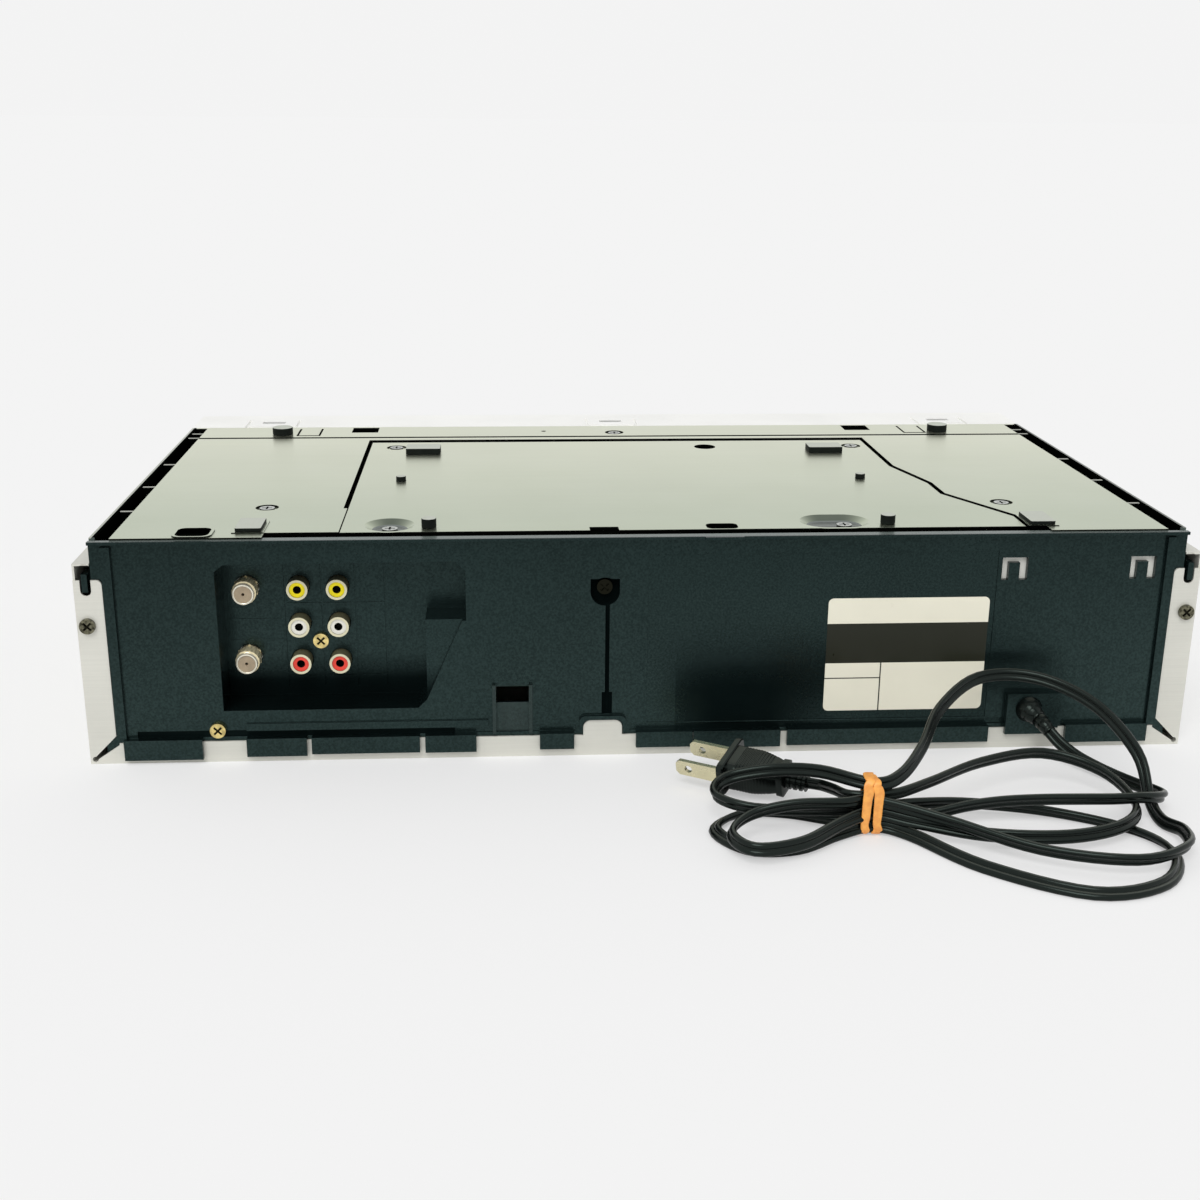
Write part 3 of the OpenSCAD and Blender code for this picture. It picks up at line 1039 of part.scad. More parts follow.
top_cover();
cover_screws();
main_frame();
rear_panel();
base_plate();
service_plate();
plate_screws();
foot_pads();
round_feet();
rating_label();
inner_shield();
aerial_sockets();
aerial_insulators();
pin_shells();
pin_yellow();
pin_white();
pin_red();
socket_screws();
tuner_box();
socket_block();
main_board();
power_board();
transformer();
capacitors();
heat_sink();
deck_plate();
drum_lower();
drum_upper();
supply_reel();
take_up_reel();
capstan();
capstan_motor();
drive_belt();
reel_pulley();
pinch_arm();
pinch_roller();
supply_guide();
take_up_guide();
loading_gear();
loading_motor();
tape_heads();
tape_carriage();
tape_holder();
front_panel();
cassette_flap();
display_window();
front_board();
front_sockets();
power_button();
eject_button();
play_button();
stop_button();
rewind_button();
forward_button();
cord_bushing();
cord_lead();
cord_hank();
plug_body();
plug_blades();
rubber_band();
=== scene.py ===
"""Video cassette recorder lying on its lid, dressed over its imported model.

Lengths in the tables are millimetres in the recorder's own frame: x to the right as the rear panel is
seen, y from the cover's rear flange to the front, z up from the lid. place() turns them into metres.
"""

import json
import math

import bmesh
import bpy
import numpy as np
from mathutils import Matrix, Vector


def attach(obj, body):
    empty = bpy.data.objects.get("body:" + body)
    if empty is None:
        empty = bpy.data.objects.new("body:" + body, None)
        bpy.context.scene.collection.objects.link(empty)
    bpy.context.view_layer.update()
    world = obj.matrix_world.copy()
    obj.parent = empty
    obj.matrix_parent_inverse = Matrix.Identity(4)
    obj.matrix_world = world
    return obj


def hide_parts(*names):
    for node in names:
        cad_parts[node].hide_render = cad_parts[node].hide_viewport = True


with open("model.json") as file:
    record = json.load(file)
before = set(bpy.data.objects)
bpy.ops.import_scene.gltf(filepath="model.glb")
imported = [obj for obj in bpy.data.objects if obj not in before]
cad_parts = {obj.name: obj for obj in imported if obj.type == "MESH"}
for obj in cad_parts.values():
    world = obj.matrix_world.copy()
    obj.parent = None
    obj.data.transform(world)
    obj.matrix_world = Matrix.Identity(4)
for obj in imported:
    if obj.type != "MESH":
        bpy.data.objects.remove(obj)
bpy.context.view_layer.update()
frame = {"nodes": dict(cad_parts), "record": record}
NODES = frame["nodes"]
MM = 0.001
CENTRE_Y = 117.5
CHASSIS = "chassis"


def place(points):
    """Millimetres from the rear flange's depth to metres in the model's frame."""
    return (np.asarray(points, float) - [0.0, CENTRE_Y, 0.0]) * MM


# ---- Camera ----

FOCAL_PX, FRAME_PX = 1526.0, 1200.0
YAW, PITCH, ROLL = (math.radians(a) for a in (3.76, 17.93, 0.46))
forward = Vector((math.sin(YAW) * math.cos(PITCH), math.cos(YAW) * math.cos(PITCH), -math.sin(PITCH)))
level = Vector((math.cos(YAW), -math.sin(YAW), 0.0))
upright = level.cross(forward)
right = math.cos(ROLL) * level + math.sin(ROLL) * upright
up = -math.sin(ROLL) * level + math.cos(ROLL) * upright

camera = bpy.data.objects.new("camera", bpy.data.cameras.new("camera"))
camera.data.sensor_width = 36.0
camera.data.lens = 36.0 * FOCAL_PX / FRAME_PX
camera.data.clip_start, camera.data.clip_end = 0.01, 50.0
camera.matrix_world = Matrix((right, up, -forward)).transposed().to_4x4()
camera.location = place([-55.1, -551.7, 242.9])
bpy.context.scene.collection.objects.link(camera)
bpy.context.scene.camera = camera


# ---- Materials ----


def node(tree, kind, values=None, **settings):
    """A shader node with its settings, and its inputs set to values or linked to sockets."""
    made = tree.nodes.new("ShaderNode" + kind)
    for key, value in settings.items():
        setattr(made, key, value)
    for key, value in (values or {}).items():
        if isinstance(value, bpy.types.NodeSocket):
            tree.links.new(value, made.inputs[key])
        else:
            made.inputs[key].default_value = value
    return made


def mixed(tree, share, first, second, blend="MIX"):
    """Colour that goes from first to second as share goes from 0 to 1."""
    made = node(tree, "Mix", {0: share, 6: first, 7: second}, data_type="RGBA", blend_type=blend)
    return made.outputs[2]


def noise(tree, where, size, detail=3.0, stretch=(1.0, 1.0, 1.0)):
    """Noise whose cells are about size millimetres, drawn out along the axes with a small stretch."""
    scaled = node(tree, "Mapping", {"Vector": where, "Scale": stretch}).outputs["Vector"]
    made = node(tree, "TexNoise", {"Vector": scaled, "Scale": 1.0 / (size * MM), "Detail": detail})
    return made.outputs["Fac"]


def band(tree, value, low, high, out_low, out_high):
    """Value moved linearly from low..high to out_low..out_high, and held there."""
    made = node(tree, "MapRange", {"Value": value, "From Min": low, "From Max": high,
                                   "To Min": out_low, "To Max": out_high})
    return made.outputs["Result"]


def calc(tree, operation, first, second=0.0):
    """Result of one sum on numbers or sockets."""
    return node(tree, "Math", {0: first, 1: second}, operation=operation).outputs[0]


def both(tree, first, second):
    """1 where both masks are 1."""
    return calc(tree, "MULTIPLY", first, second)


def between(tree, value, low, high):
    """1 where value lies between low and high metres, otherwise 0."""
    return both(tree, calc(tree, "GREATER_THAN", value, low), calc(tree, "LESS_THAN", value, high))


def depth(y):
    """Millimetres behind the rear flange as metres along the model's own y."""
    return (y - CENTRE_Y) * MM


def axes_of(tree, vector):
    """The x, y and z of a vector."""
    parts = node(tree, "SeparateXYZ", {"Vector": vector})
    return [parts.outputs[k] for k in "XYZ"]


def facing(tree):
    """The three parts of the surface's own direction."""
    return axes_of(tree, node(tree, "TexCoord").outputs["Normal"])


def rgba(colour, factor=1.0):
    """Colour scaled by factor, with full alpha."""
    return (*[min(1.0, c * factor) for c in colour], 1.0)


def surface_finish(name, colour, roughness, metallic=0.0, specular=0.5, coat=0.0, mottle=(60.0, 0.12),
                   grain=(0.5, 0.02), lines=None, spread=0.08, colour_map=None, gloss_map=None,
                   gloss_tint=None):
    """A finish over Object coordinates: cloudy colour of size and amount mottle, a bump of size and
    depth grain, straight drawn lines of (size, amount, stretch), and roughness that varies by spread."""
    material = bpy.data.materials.new(name)
    material.use_nodes = True
    material.diffuse_color = rgba(colour)
    tree = material.node_tree
    shader = tree.nodes["Principled BSDF"]
    where = node(tree, "TexCoord").outputs["Object"]
    cloud = noise(tree, where, mottle[0], 5.0)
    tint = mixed(tree, band(tree, cloud, 0.35, 0.65, 0.0, 1.0), rgba(colour, 1 - mottle[1]),
                 rgba(colour, 1 + mottle[1]))
    if colour_map:
        tint = colour_map(tree, where, tint)
    height = noise(tree, where, grain[0], 4.0)
    if lines:
        drawn = noise(tree, where, lines[0], 3.0, lines[2])
        tint = mixed(tree, band(tree, drawn, 0.3, 0.7, 0.0, lines[1]), tint, rgba(colour, 0.6))
        height = calc(tree, "ADD", height, drawn)
    patch = noise(tree, where, mottle[0] * 0.35, 4.0)
    rough = band(tree, patch, 0.3, 0.7, max(0.02, roughness - spread), min(1.0, roughness + spread))
    bump = node(tree, "Bump", {"Height": height, "Distance": grain[1] * MM, "Strength": 1.0})
    tree.links.new(tint, shader.inputs["Base Color"])
    tree.links.new(rough, shader.inputs["Roughness"])
    tree.links.new(bump.outputs["Normal"], shader.inputs["Normal"])
    shader.inputs["Metallic"].default_value = metallic
    shader.inputs["Specular IOR Level"].default_value = specular
    shader.inputs["Coat Weight"].default_value = coat
    shader.inputs["Coat Roughness"].default_value = 0.12
    if gloss_tint:
        shader.inputs["Specular Tint"].default_value = rgba(gloss_tint)
    if gloss_map:
        tree.links.new(gloss_map(tree, where, specular), shader.inputs["Specular IOR Level"])
    return material


def label_print(tree, where, paper):
    """Paper with one dark printed block and two thin ruled lines, by height and width on the panel."""
    x, _, z = axes_of(tree, where)
    ink = (0.016, 0.0175, 0.010, 1.0)
    block = between(tree, z, 36.4 * MM, 52.7 * MM)
    rule = both(tree, between(tree, x, 60 * MM, 91.6 * MM), between(tree, z, 29.9 * MM, 30.35 * MM))
    divider = both(tree, between(tree, z, 0.0, 36.4 * MM), between(tree, x, 91.4 * MM, 91.9 * MM))
    printed = mixed(tree, block, paper, ink)
    printed = mixed(tree, rule, printed, ink)
    return mixed(tree, divider, printed, ink)


def inside_case(tree, x, y, z):
    """1 in the side channels, in the seams and under the plates, otherwise 0."""
    level = both(tree, between(tree, z, 79 * MM, 89.6 * MM), between(tree, y, depth(3.5), depth(207)))
    return both(tree, level, between(tree, x, -207.5 * MM, 207.5 * MM))


def case_paint(tree, where, paint):
    """Black paint with painted light and shade: painted shade in the side channels, the seams and under the
    plates, a painted reflection on the rear panel's upper strip, faint on its lip, and painted highlights
    on the frame's outermost rim, brighter on the right, and on the tops of the channels' ribs. The snap's
    proud ribs carry a painted highlight and its tongue is a paler grey."""
    x, y, z = axes_of(tree, where)
    side = calc(tree, "ABSOLUTE", x)
    strip = both(tree, between(tree, z, 88.0 * MM, 0.1), between(tree, y, depth(-0.3), depth(3.45)))
    lip = both(tree, between(tree, z, 88.8 * MM, 0.1), between(tree, y, depth(-1.2), depth(-0.2)))
    rim = both(tree, between(tree, z, 89.2 * MM, 0.1), between(tree, side, 207.6 * MM, 0.3))
    rib_top = between(tree, z, 89.0 * MM, 89.3 * MM)
    ribs = both(tree, rib_top, between(tree, side, 200.6 * MM, 206.2 * MM))
    # painted shade: near-black in the side channels, the seams and under the plates
    paint_and_light = mixed(tree, inside_case(tree, x, y, z), paint, (0.0015, 0.002, 0.0015, 1.0))
    # the snap's proud ribs carry a painted highlight; its tongue is a paler grey
    snap = both(tree, between(tree, z, 9.9 * MM, 30.1 * MM), between(tree, x, -60.4 * MM, -44.7 * MM))
    tongue = both(tree, between(tree, z, 10 * MM, 22 * MM), between(tree, x, -58.9 * MM, -46.2 * MM))
    ribs_proud = calc(tree, "LESS_THAN", y, depth(-0.1))
    snap_pale = both(tree, snap, calc(tree, "MAXIMUM", ribs_proud, tongue))
    paint_and_light = mixed(tree, snap_pale, paint_and_light, (0.016, 0.019, 0.018, 1.0))
    # painted reflection on the rear panel's upper strip, faint on its lip
    paint_and_light = mixed(tree, strip, paint_and_light, (0.10, 0.122, 0.112, 1.0))
    paint_and_light = mixed(tree, lip, paint_and_light, (0.012, 0.018, 0.018, 1.0))
    # painted highlight on the frame's outermost rim, brighter on the right
    rim_highlight = mixed(tree, calc(tree, "GREATER_THAN", x, 0.0), (0.40, 0.41, 0.34, 1.0),
                 (0.10, 0.105, 0.08, 1.0))
    paint_and_light = mixed(tree, rim, paint_and_light, rim_highlight)
    # painted highlight on the tops of the channels' ribs
    return mixed(tree, ribs, paint_and_light, (0.50, 0.51, 0.46, 1.0))


def case_gloss(tree, where, level):
    """Gloss that falls from the foot of the rear panel to its top, and is lost low in the socket bay, in
    the keyhole and inside the case."""
    x, y, z = axes_of(tree, where)
    low = band(tree, z, 27 * MM, 38 * MM, 0.92, 0.0)
    bay = calc(tree, "LESS_THAN", x, -75 * MM)
    past_edge = calc(tree, "GREATER_THAN", x, 11 * MM)
    near_end = both(tree, past_edge, band(tree, x, 10 * MM, 26 * MM, 0.45, 1.0))
    niche = both(tree, near_end, band(tree, x, 48 * MM, 78 * MM, 1.0, 0.25))
    low = both(tree, calc(tree, "MAXIMUM", bay, niche), low)
    keyhole = both(tree, between(tree, x, -23 * MM, -11 * MM), between(tree, z, 59 * MM, 73 * MM))
    slot = both(tree, between(tree, x, -18 * MM, -13.6 * MM), between(tree, z, 16 * MM, 62 * MM))
    deep = calc(tree, "MAXIMUM", calc(tree, "MAXIMUM", low, keyhole), slot)
    hidden = both(tree, calc(tree, "GREATER_THAN", y, depth(1.25)), deep)
    lost = calc(tree, "MAXIMUM", hidden, inside_case(tree, x, y, z))
    speckle = band(tree, noise(tree, where, 0.8, 2.0), 0.35, 0.65, 0.75, 1.25)
    fall = both(tree, speckle, band(tree, z, 20 * MM, 85 * MM, level, 0.6 * level))
    return both(tree, calc(tree, "SUBTRACT", 1.0, lost), fall)


def sheet_shade(tree, where, metal):
    """Sheet metal with painted light and shade: paler towards the front, painted shade on its edges and on
    the slopes that face the rear, greyer painted shade over the dishes' floors and a painted black shadow
    in the rear half of the two dishes' floors."""
    x, y, z = axes_of(tree, where)
    _, ny, nz = facing(tree)
    # painted light: the sheet pales towards the front
    away = band(tree, y, depth(30), depth(170), 0.0, 1.0)
    light = mixed(tree, away, (0.86, 0.895, 0.835, 1.0), (1.12, 1.10, 1.05, 1.0))
    metal = mixed(tree, 1.0, metal, light, "MULTIPLY")
    # painted shade on the slopes that face the rear
    metal = mixed(tree, band(tree, ny, -0.56, -0.1, 0.9, 0.0), metal, (0.05, 0.065, 0.055, 1.0))
    # painted shade over the dishes' floors
    floor_part = between(tree, z, 86.5 * MM, 87.5 * MM)
    metal = mixed(tree, floor_part, metal, (0.20, 0.22, 0.21, 1.0))
    # painted black shadow in the rear half of the dishes' floors
    near = both(tree, floor_part, between(tree, y, depth(0), depth(18.4)))
    metal = mixed(tree, near, metal, (0.002, 0.003, 0.002, 1.0))
    # painted shade on the sheet's edges, the seams' walls among them
    edge = calc(tree, "LESS_THAN", calc(tree, "ABSOLUTE", nz), 0.5)
    return mixed(tree, edge, metal, (0.006, 0.007, 0.006, 1.0))


def pale_tops(tree, where, rubber):
    """Rubber whose upward faces carry a painted pale reflection."""
    top = band(tree, facing(tree)[2], 0.6, 0.85, 0.0, 1.0)
    return mixed(tree, top, rubber, (0.54, 0.565, 0.50, 1.0))


def cord_sheen(tree, where, rubber):
    """Rubber that is paler along its upper side."""
    top = band(tree, facing(tree)[2], 0.88, 0.995, 0.0, 1.0)
    return mixed(tree, top, rubber, (0.060, 0.066, 0.056, 1.0))


def gilt_collar(tree, where, front):
    """Bright nickel at the socket's front, dull gold round its fluted collar."""
    y = axes_of(tree, where)[1]
    return mixed(tree, band(tree, y, depth(9.6), depth(10.4), 0.0, 1.0), front, (0.90, 0.80, 0.52, 1.0))


def hollow(tree, where, plastic):
    """Coloured plastic with painted black shade inside its contact's hole."""
    y = axes_of(tree, where)[1]
    return mixed(tree, between(tree, y, depth(13.0), depth(30.0)), plastic, (0.004, 0.004, 0.004, 1.0))


def shell_sides(tree, where, front):
    """Pale plastic at the front of a socket's shell, with painted olive-brown shade round its side."""
    side = band(tree, facing(tree)[1], -0.8, -0.5, 0.0, 1.0)
    return mixed(tree, side, front, (0.13, 0.12, 0.065, 1.0))


def gold_slots(tree, where, gold):
    """Gilt screws with painted shade in their crosses."""
    y = axes_of(tree, where)[1]
    deep = calc(tree, "MAXIMUM", between(tree, y, depth(16.4), depth(17.1)),
                between(tree, y, depth(-0.6), depth(0.1)))
    return mixed(tree, deep, gold, (0.02, 0.018, 0.008, 1.0))


def driver_slots(tree, where, steel):
    """Steel with painted shade in the crosses of the plates' screws."""
    z = axes_of(tree, where)[2]
    deep = calc(tree, "MAXIMUM", between(tree, z, 88.4 * MM, 89.15 * MM),
                between(tree, z, 86.9 * MM, 87.65 * MM))
    return mixed(tree, deep, steel, (0.02, 0.02, 0.018, 1.0))


def screw_cross(tree, where, metal):
    """Screws with painted black shade in their crosses, and the one deep in the keyhole painted black all
    over.
    """
    x, y, z = axes_of(tree, where)
    cross = both(tree, between(tree, y, depth(-1.2), depth(-0.2)),
                 calc(tree, "GREATER_THAN", calc(tree, "ABSOLUTE", facing(tree)[1]), 0.5))
    keyhole = between(tree, x, -24 * MM, -9 * MM)
    return mixed(tree, calc(tree, "MAXIMUM", cross, keyhole), metal, (0.012, 0.012, 0.008, 1.0))


def board_tracks(tree, where, lacquer):
    """Solder lacquer with paler copper tracks under it, as cells with straight edges."""
    cells = node(tree, "TexVoronoi", {"Vector": where, "Scale": 180.0}, distance="MANHATTAN")
    edge = band(tree, cells.outputs["Distance"], 0.42, 0.5, 0.0, 0.6)
    return mixed(tree, edge, lacquer, (0.12, 0.32, 0.12, 1.0))


def copper_turns(tree, where, wire):
    """Wire laid in turns along the height, as fine dark and bright bands."""
    wave = node(tree, "TexWave", {"Vector": where, "Scale": 260.0, "Distortion": 0.4},
                bands_direction="Z")
    return mixed(tree, wave.outputs["Fac"], wire, (0.16, 0.07, 0.02, 1.0))


FINISH = {
    "cover_silver": surface_finish("cover_silver", (0.70, 0.695, 0.63), 0.42, 0.25, mottle=(24, 0.03),
                                   grain=(0.35, 0.006), lines=(0.7, 0.12, (0.02, 0.02, 1.0))),
    "frame_black": surface_finish("frame_black", (0.003, 0.006, 0.006), 0.22, specular=0.5,
                                  mottle=(70, 0.3), grain=(0.5, 0.05), spread=0.04,
                                  colour_map=case_paint, gloss_map=case_gloss,
                                  gloss_tint=(0.62, 1.0, 0.95)),
    "plate_zinc": surface_finish("plate_zinc", (0.60, 0.635, 0.525), 0.3, 1.0, mottle=(90, 0.02),
                                 grain=(0.8, 0.002), lines=(3.0, 0.05, (0.03, 1.0, 1.0)), spread=0.02,
                                 colour_map=sheet_shade),
    "shield_bright": surface_finish("shield_bright", (0.80, 0.80, 0.74), 0.5, mottle=(20, 0.03)),
    "bright_steel": surface_finish("bright_steel", (0.50, 0.52, 0.49), 0.25, 1.0, mottle=(20, 0.08),
                                   grain=(0.3, 0.004), lines=(0.6, 0.15, (1.0, 1.0, 0.05)),
                                   colour_map=driver_slots),
    "dark_screw": surface_finish("dark_screw", (0.13, 0.125, 0.085), 0.25, 1.0, mottle=(1.2, 0.7),
                                 grain=(0.4, 0.03), colour_map=screw_cross),
    "foot_rubber": surface_finish("foot_rubber", (0.004, 0.006, 0.005), 0.6, specular=0.12,
                                  mottle=(6, 0.3), grain=(0.4, 0.04), colour_map=pale_tops),
    "label_cream": surface_finish("label_cream", (0.87, 0.845, 0.70), 0.35, specular=0.3, mottle=(25, 0.02),
                                  grain=(0.5, 0.004), colour_map=label_print),
    "socket_nickel": surface_finish("socket_nickel", (0.84, 0.80, 0.66), 0.2, 0.45, mottle=(4, 0.1),
                                    grain=(0.3, 0.004), colour_map=gilt_collar),
    "insulator_tan": surface_finish("insulator_tan", (0.38, 0.30, 0.20), 0.45, mottle=(3, 0.1),
                                    grain=(0.3, 0.01)),
    "shell_cream": surface_finish("shell_cream", (0.74, 0.70, 0.49), 0.35, mottle=(4, 0.05),
                                  grain=(0.4, 0.006), colour_map=shell_sides),
    "jack_yellow": surface_finish("jack_yellow", (0.96, 0.80, 0.01), 0.3, specular=0.25,
                                  mottle=(4, 0.05), grain=(0.4, 0.006), colour_map=hollow),
    "jack_white": surface_finish("jack_white", (0.84, 0.82, 0.74), 0.3, mottle=(4, 0.05),
                                 grain=(0.4, 0.006), colour_map=hollow),
    "jack_red": surface_finish("jack_red", (0.85, 0.07, 0.045), 0.3, specular=0.25, mottle=(4, 0.08),
                               grain=(0.4, 0.006), colour_map=hollow),
    "screw_gold": surface_finish("screw_gold", (0.72, 0.58, 0.24), 0.24, 1.0, mottle=(2.5, 0.3),
                                 grain=(0.3, 0.006), colour_map=gold_slots),
    "board_green": surface_finish("board_green", (0.02, 0.13, 0.05), 0.35, coat=0.3, mottle=(15, 0.15),
                                  grain=(0.6, 0.02), colour_map=board_tracks),
    "board_brown": surface_finish("board_brown", (0.30, 0.17, 0.06), 0.5, mottle=(8, 0.15),
                                  grain=(0.5, 0.02)),
    "winding_copper": surface_finish("winding_copper", (0.45, 0.22, 0.08), 0.35, 0.3, mottle=(6, 0.15),
                                     grain=(0.5, 0.02), colour_map=copper_turns),
    "sleeve_blue": surface_finish("sleeve_blue", (0.02, 0.03, 0.12), 0.25, coat=0.3, mottle=(6, 0.2),
                                  grain=(0.6, 0.01)),
    "bare_aluminium": surface_finish("bare_aluminium", (0.74, 0.75, 0.76), 0.3, 1.0, mottle=(12, 0.06),
                                     grain=(0.3, 0.004), lines=(0.5, 0.1, (1.0, 1.0, 0.04))),
    "reel_grey": surface_finish("reel_grey", (0.05, 0.05, 0.055), 0.4, mottle=(8, 0.15),
                                grain=(0.4, 0.01)),
    "belt_rubber": surface_finish("belt_rubber", (0.02, 0.02, 0.02), 0.7, mottle=(5, 0.3),
                                  grain=(0.4, 0.03)),
    "gear_ivory": surface_finish("gear_ivory", (0.70, 0.66, 0.54), 0.4, mottle=(6, 0.08),
                                 grain=(0.5, 0.01)),
    "front_pale": surface_finish("front_pale", (0.93, 0.93, 0.90), 0.4, mottle=(40, 0.03),
                                 grain=(0.5, 0.008)),
    "front_silver": surface_finish("front_silver", (0.60, 0.61, 0.62), 0.35, 0.35, mottle=(30, 0.04),
                                   grain=(0.4, 0.008)),
    "window_dark": surface_finish("window_dark", (0.006, 0.008, 0.012), 0.08, coat=0.6,
                                  mottle=(20, 0.2), grain=(2.0, 0.002), spread=0.03),
    "cord_black": surface_finish("cord_black", (0.003, 0.004, 0.0037), 0.22, specular=0.26,
                                 mottle=(30, 0.15), grain=(2.5, 0.006), spread=0.04,
                                 colour_map=cord_sheen, gloss_tint=(0.8, 1.0, 0.9)),
    "blade_nickel": surface_finish("blade_nickel", (0.75, 0.70, 0.48), 0.3, 1.0, mottle=(6, 0.04),
                                   grain=(0.3, 0.003), lines=(0.5, 0.05, (0.06, 0.06, 1.0))),
    "band_orange": surface_finish("band_orange", (1.0, 0.40, 0.085), 0.4, mottle=(2, 0.14),
                                  grain=(0.7, 0.03)),
}


# ---- Pieces ----


def grid_faces(rows, cols, closed_rows=False, closed_cols=True):
    """Quads between neighbours of a grid whose points are stored row by row."""
    i, j = np.meshgrid(np.arange(rows if closed_rows else rows - 1),
                       np.arange(cols if closed_cols else cols - 1), indexing="ij")
    n, m = (i + 1) % rows, (j + 1) % cols
    return np.stack([i * cols + j, i * cols + m, n * cols + m, n * cols + j], -1).reshape(-1, 4).tolist()


def lofted(points, closed_rows=False):
    """Points and faces of rings laid one after another, with both ends closed unless the rows close."""
    rows, cols = points.shape[:2]
    faces = grid_faces(rows, cols, closed_rows)
    if not closed_rows:
        faces += [list(range(cols)), list(range((rows - 1) * cols, rows * cols))]
    return points.reshape(-1, 3), faces


def build(name, shapes, finish, body=CHASSIS, stands_for=(), sharp=35.0):
    """One piece from several (points, faces) in metres, faces turned outwards, smooth where neighbours
    meet at less than sharp degrees."""
    points, faces, start = [], [], 0
    for p, f in shapes:
        points.append(p)
        faces += [[start + k for k in face] for face in f]
        start += len(p)
    mesh = bpy.data.meshes.new(name)
    mesh.from_pydata(np.concatenate(points).tolist(), [], faces)
    work = bmesh.new()
    work.from_mesh(mesh)
    bmesh.ops.recalc_face_normals(work, faces=work.faces)
    work.to_mesh(mesh)
    work.free()
    mesh.polygons.foreach_set("use_smooth", np.ones(len(mesh.polygons), bool))
    mesh.set_sharp_from_angle(angle=math.radians(sharp))
    mesh.materials.append(FINISH[finish])
    made = bpy.data.objects.new(name, mesh)
    bpy.context.scene.collection.objects.link(made)
    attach(made, body)
    if stands_for:
        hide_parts(*stands_for)
    return made


def turned(profile, base, axis, facets=64, wave=None):
    """A profile of (distance along the axis, radius) turned round the axis from base: each ring is
    base + distance * axis + radius * (cos, sin); wave(angles, row) scales its radii."""
    axis = np.asarray(axis, float) / np.linalg.norm(axis)
    side = np.cross([0.0, 0.0, 1.0] if abs(axis[2]) < 0.9 else [1.0, 0.0, 0.0], axis)
    side /= np.linalg.norm(side)
    other = np.cross(axis, side)
    profile = np.asarray(profile, float)
    angle = np.linspace(0, 2 * np.pi, facets, endpoint=False)
    radius = profile[:, 1][:, None] * np.ones(facets)
    if wave is not None:
        radius = radius * wave(angle[None, :], profile[:, 0][:, None])
    rings = (np.asarray(base, float) + profile[:, 0][:, None, None] * axis
             + radius[..., None] * (np.cos(angle)[:, None] * side + np.sin(angle)[:, None] * other))
    return lofted(place(rings))


def through(points, steps):
    """Smooth curve through points: the Catmull-Rom cubic of each four neighbours, steps to a span."""
    p = np.asarray(points, float)
    p = np.vstack([2 * p[0] - p[1], p, 2 * p[-1] - p[-2]])
    a, b, c, d = p[:-3, None], p[1:-2, None], p[2:-1, None], p[3:, None]
    t = (np.arange(steps) / steps)[None, :, None]
    run = b + 0.5 * t * (c - a + t * (2 * a - 5 * b + 4 * c - d + t * (3 * b - a - 3 * c + d)))
    return np.vstack([run.reshape(-1, 3), p[-2]])


def directions(path):
    """Unit tangent, level side and upper side at each point of a path."""
    tangent = np.gradient(path, axis=0)
    tangent /= np.linalg.norm(tangent, axis=1, keepdims=True)
    side = np.cross([0.0, 0.0, 1.0], tangent)
    side /= np.linalg.norm(side, axis=1, keepdims=True)
    return tangent, side, np.cross(tangent, side)


def eased(values, reach):
    """Running mean over reach neighbours each way."""
    padded = np.pad(values, reach, mode="edge")
    return np.convolve(padded, np.ones(2 * reach + 1) / (2 * reach + 1), mode="valid")


def swept(path, across, along_height, section):
    """Section of (across, height) carried along a path: point = path + across * side + height * up."""
    section = np.broadcast_to(section, (len(path), *np.shape(section)[-2:]))
    rings = (path[:, None] + section[..., 0, None] * across[:, None]
             + section[..., 1, None] * along_height[:, None])
    return place(rings)


# ---- Cord ----

WAIST = np.array([73.0, -71.5])
COLUMN, ROW_Z, ROW_STEP = 2.0, 3.4, 4.7
CORD_W, CORD_T = 4.9, 2.5
LEAD = [[154.3, -6.3, 14.5], [155.2, -9.6, 13.7], [157.2, -13, 11.2], [160.4, -17, 8],
        [165, -22.4, 5.2], [170.3, -29, 3.6], [175.6, -37, 3], [180, -46, 3.6], [182.6, -54.5, 5],
        [181.9, -61.8, 6.8], [177, -67, 8.8], [169.6, -69.8, 10.2], [160, -70.6, 10.3],
        [149, -70, 10.2], [135, -68.8, 9.8], [121, -68.4, 9.2], [108, -68.6, 7.8], [96, -69.3, 5.4],
        [84, -69.5, 3.4]]
LEFT_LOW = [[61, -67.5, 2.6], [45, -60, 2], [29, -59, 2], [17.5, -71, 2], [27, -86, 2],
            [44, -86.5, 2], [60, -77.5, 2.6]]
RIGHT_LOW = [[85, -79, 2.4], [104, -103, 2], [134, -122.5, 2], [160, -117, 2], [172, -97, 2],
             [165, -79, 2], [140, -64, 2.6], [112, -60.4, 4.8], [89, -65, 7.4]]
LEFT_HIGH = [[61, -70.4, 8.2], [45, -69.4, 8], [29, -69, 9.2], [18.8, -60.6, 10.2],
             [24, -50.4, 11.8], [40, -51.6, 15.4], [56, -60, 18.4]]
RIGHT_ARCH = [[84, -65, 18.4], [96, -48.5, 22], [108, -27, 28], [127, -11, 34], [149, -12.6, 34.4],
              [167, -27.5, 29], [177, -47, 17.6], [177.6, -61, 5], [177.4, -73, 2.6],
              [179.8, -85, 4.4], [174, -100, 6.2], [154, -108.6, 6.2], [124, -100, 6.4],
              [96, -82.5, 9.4]]
LEFT_FRONT = [[61, -74.6, 12.8], [44, -74.4, 12.4], [29, -75.4, 9.2], [21.2, -84.4, 6.8],
              [28, -94.6, 6], [45, -91, 6.2], [61, -79, 7.4]]
RIGHT_MID = [[87, -77.5, 6.4], [110, -86, 5.2], [138, -89.5, 5.6], [160, -82.5, 6.2], [170, -66, 6.4],
             [165, -45, 9.6], [146, -34.8, 12.6], [120, -43.5, 13.2], [97, -59, 13],
             [83, -67.6, 12.9]]
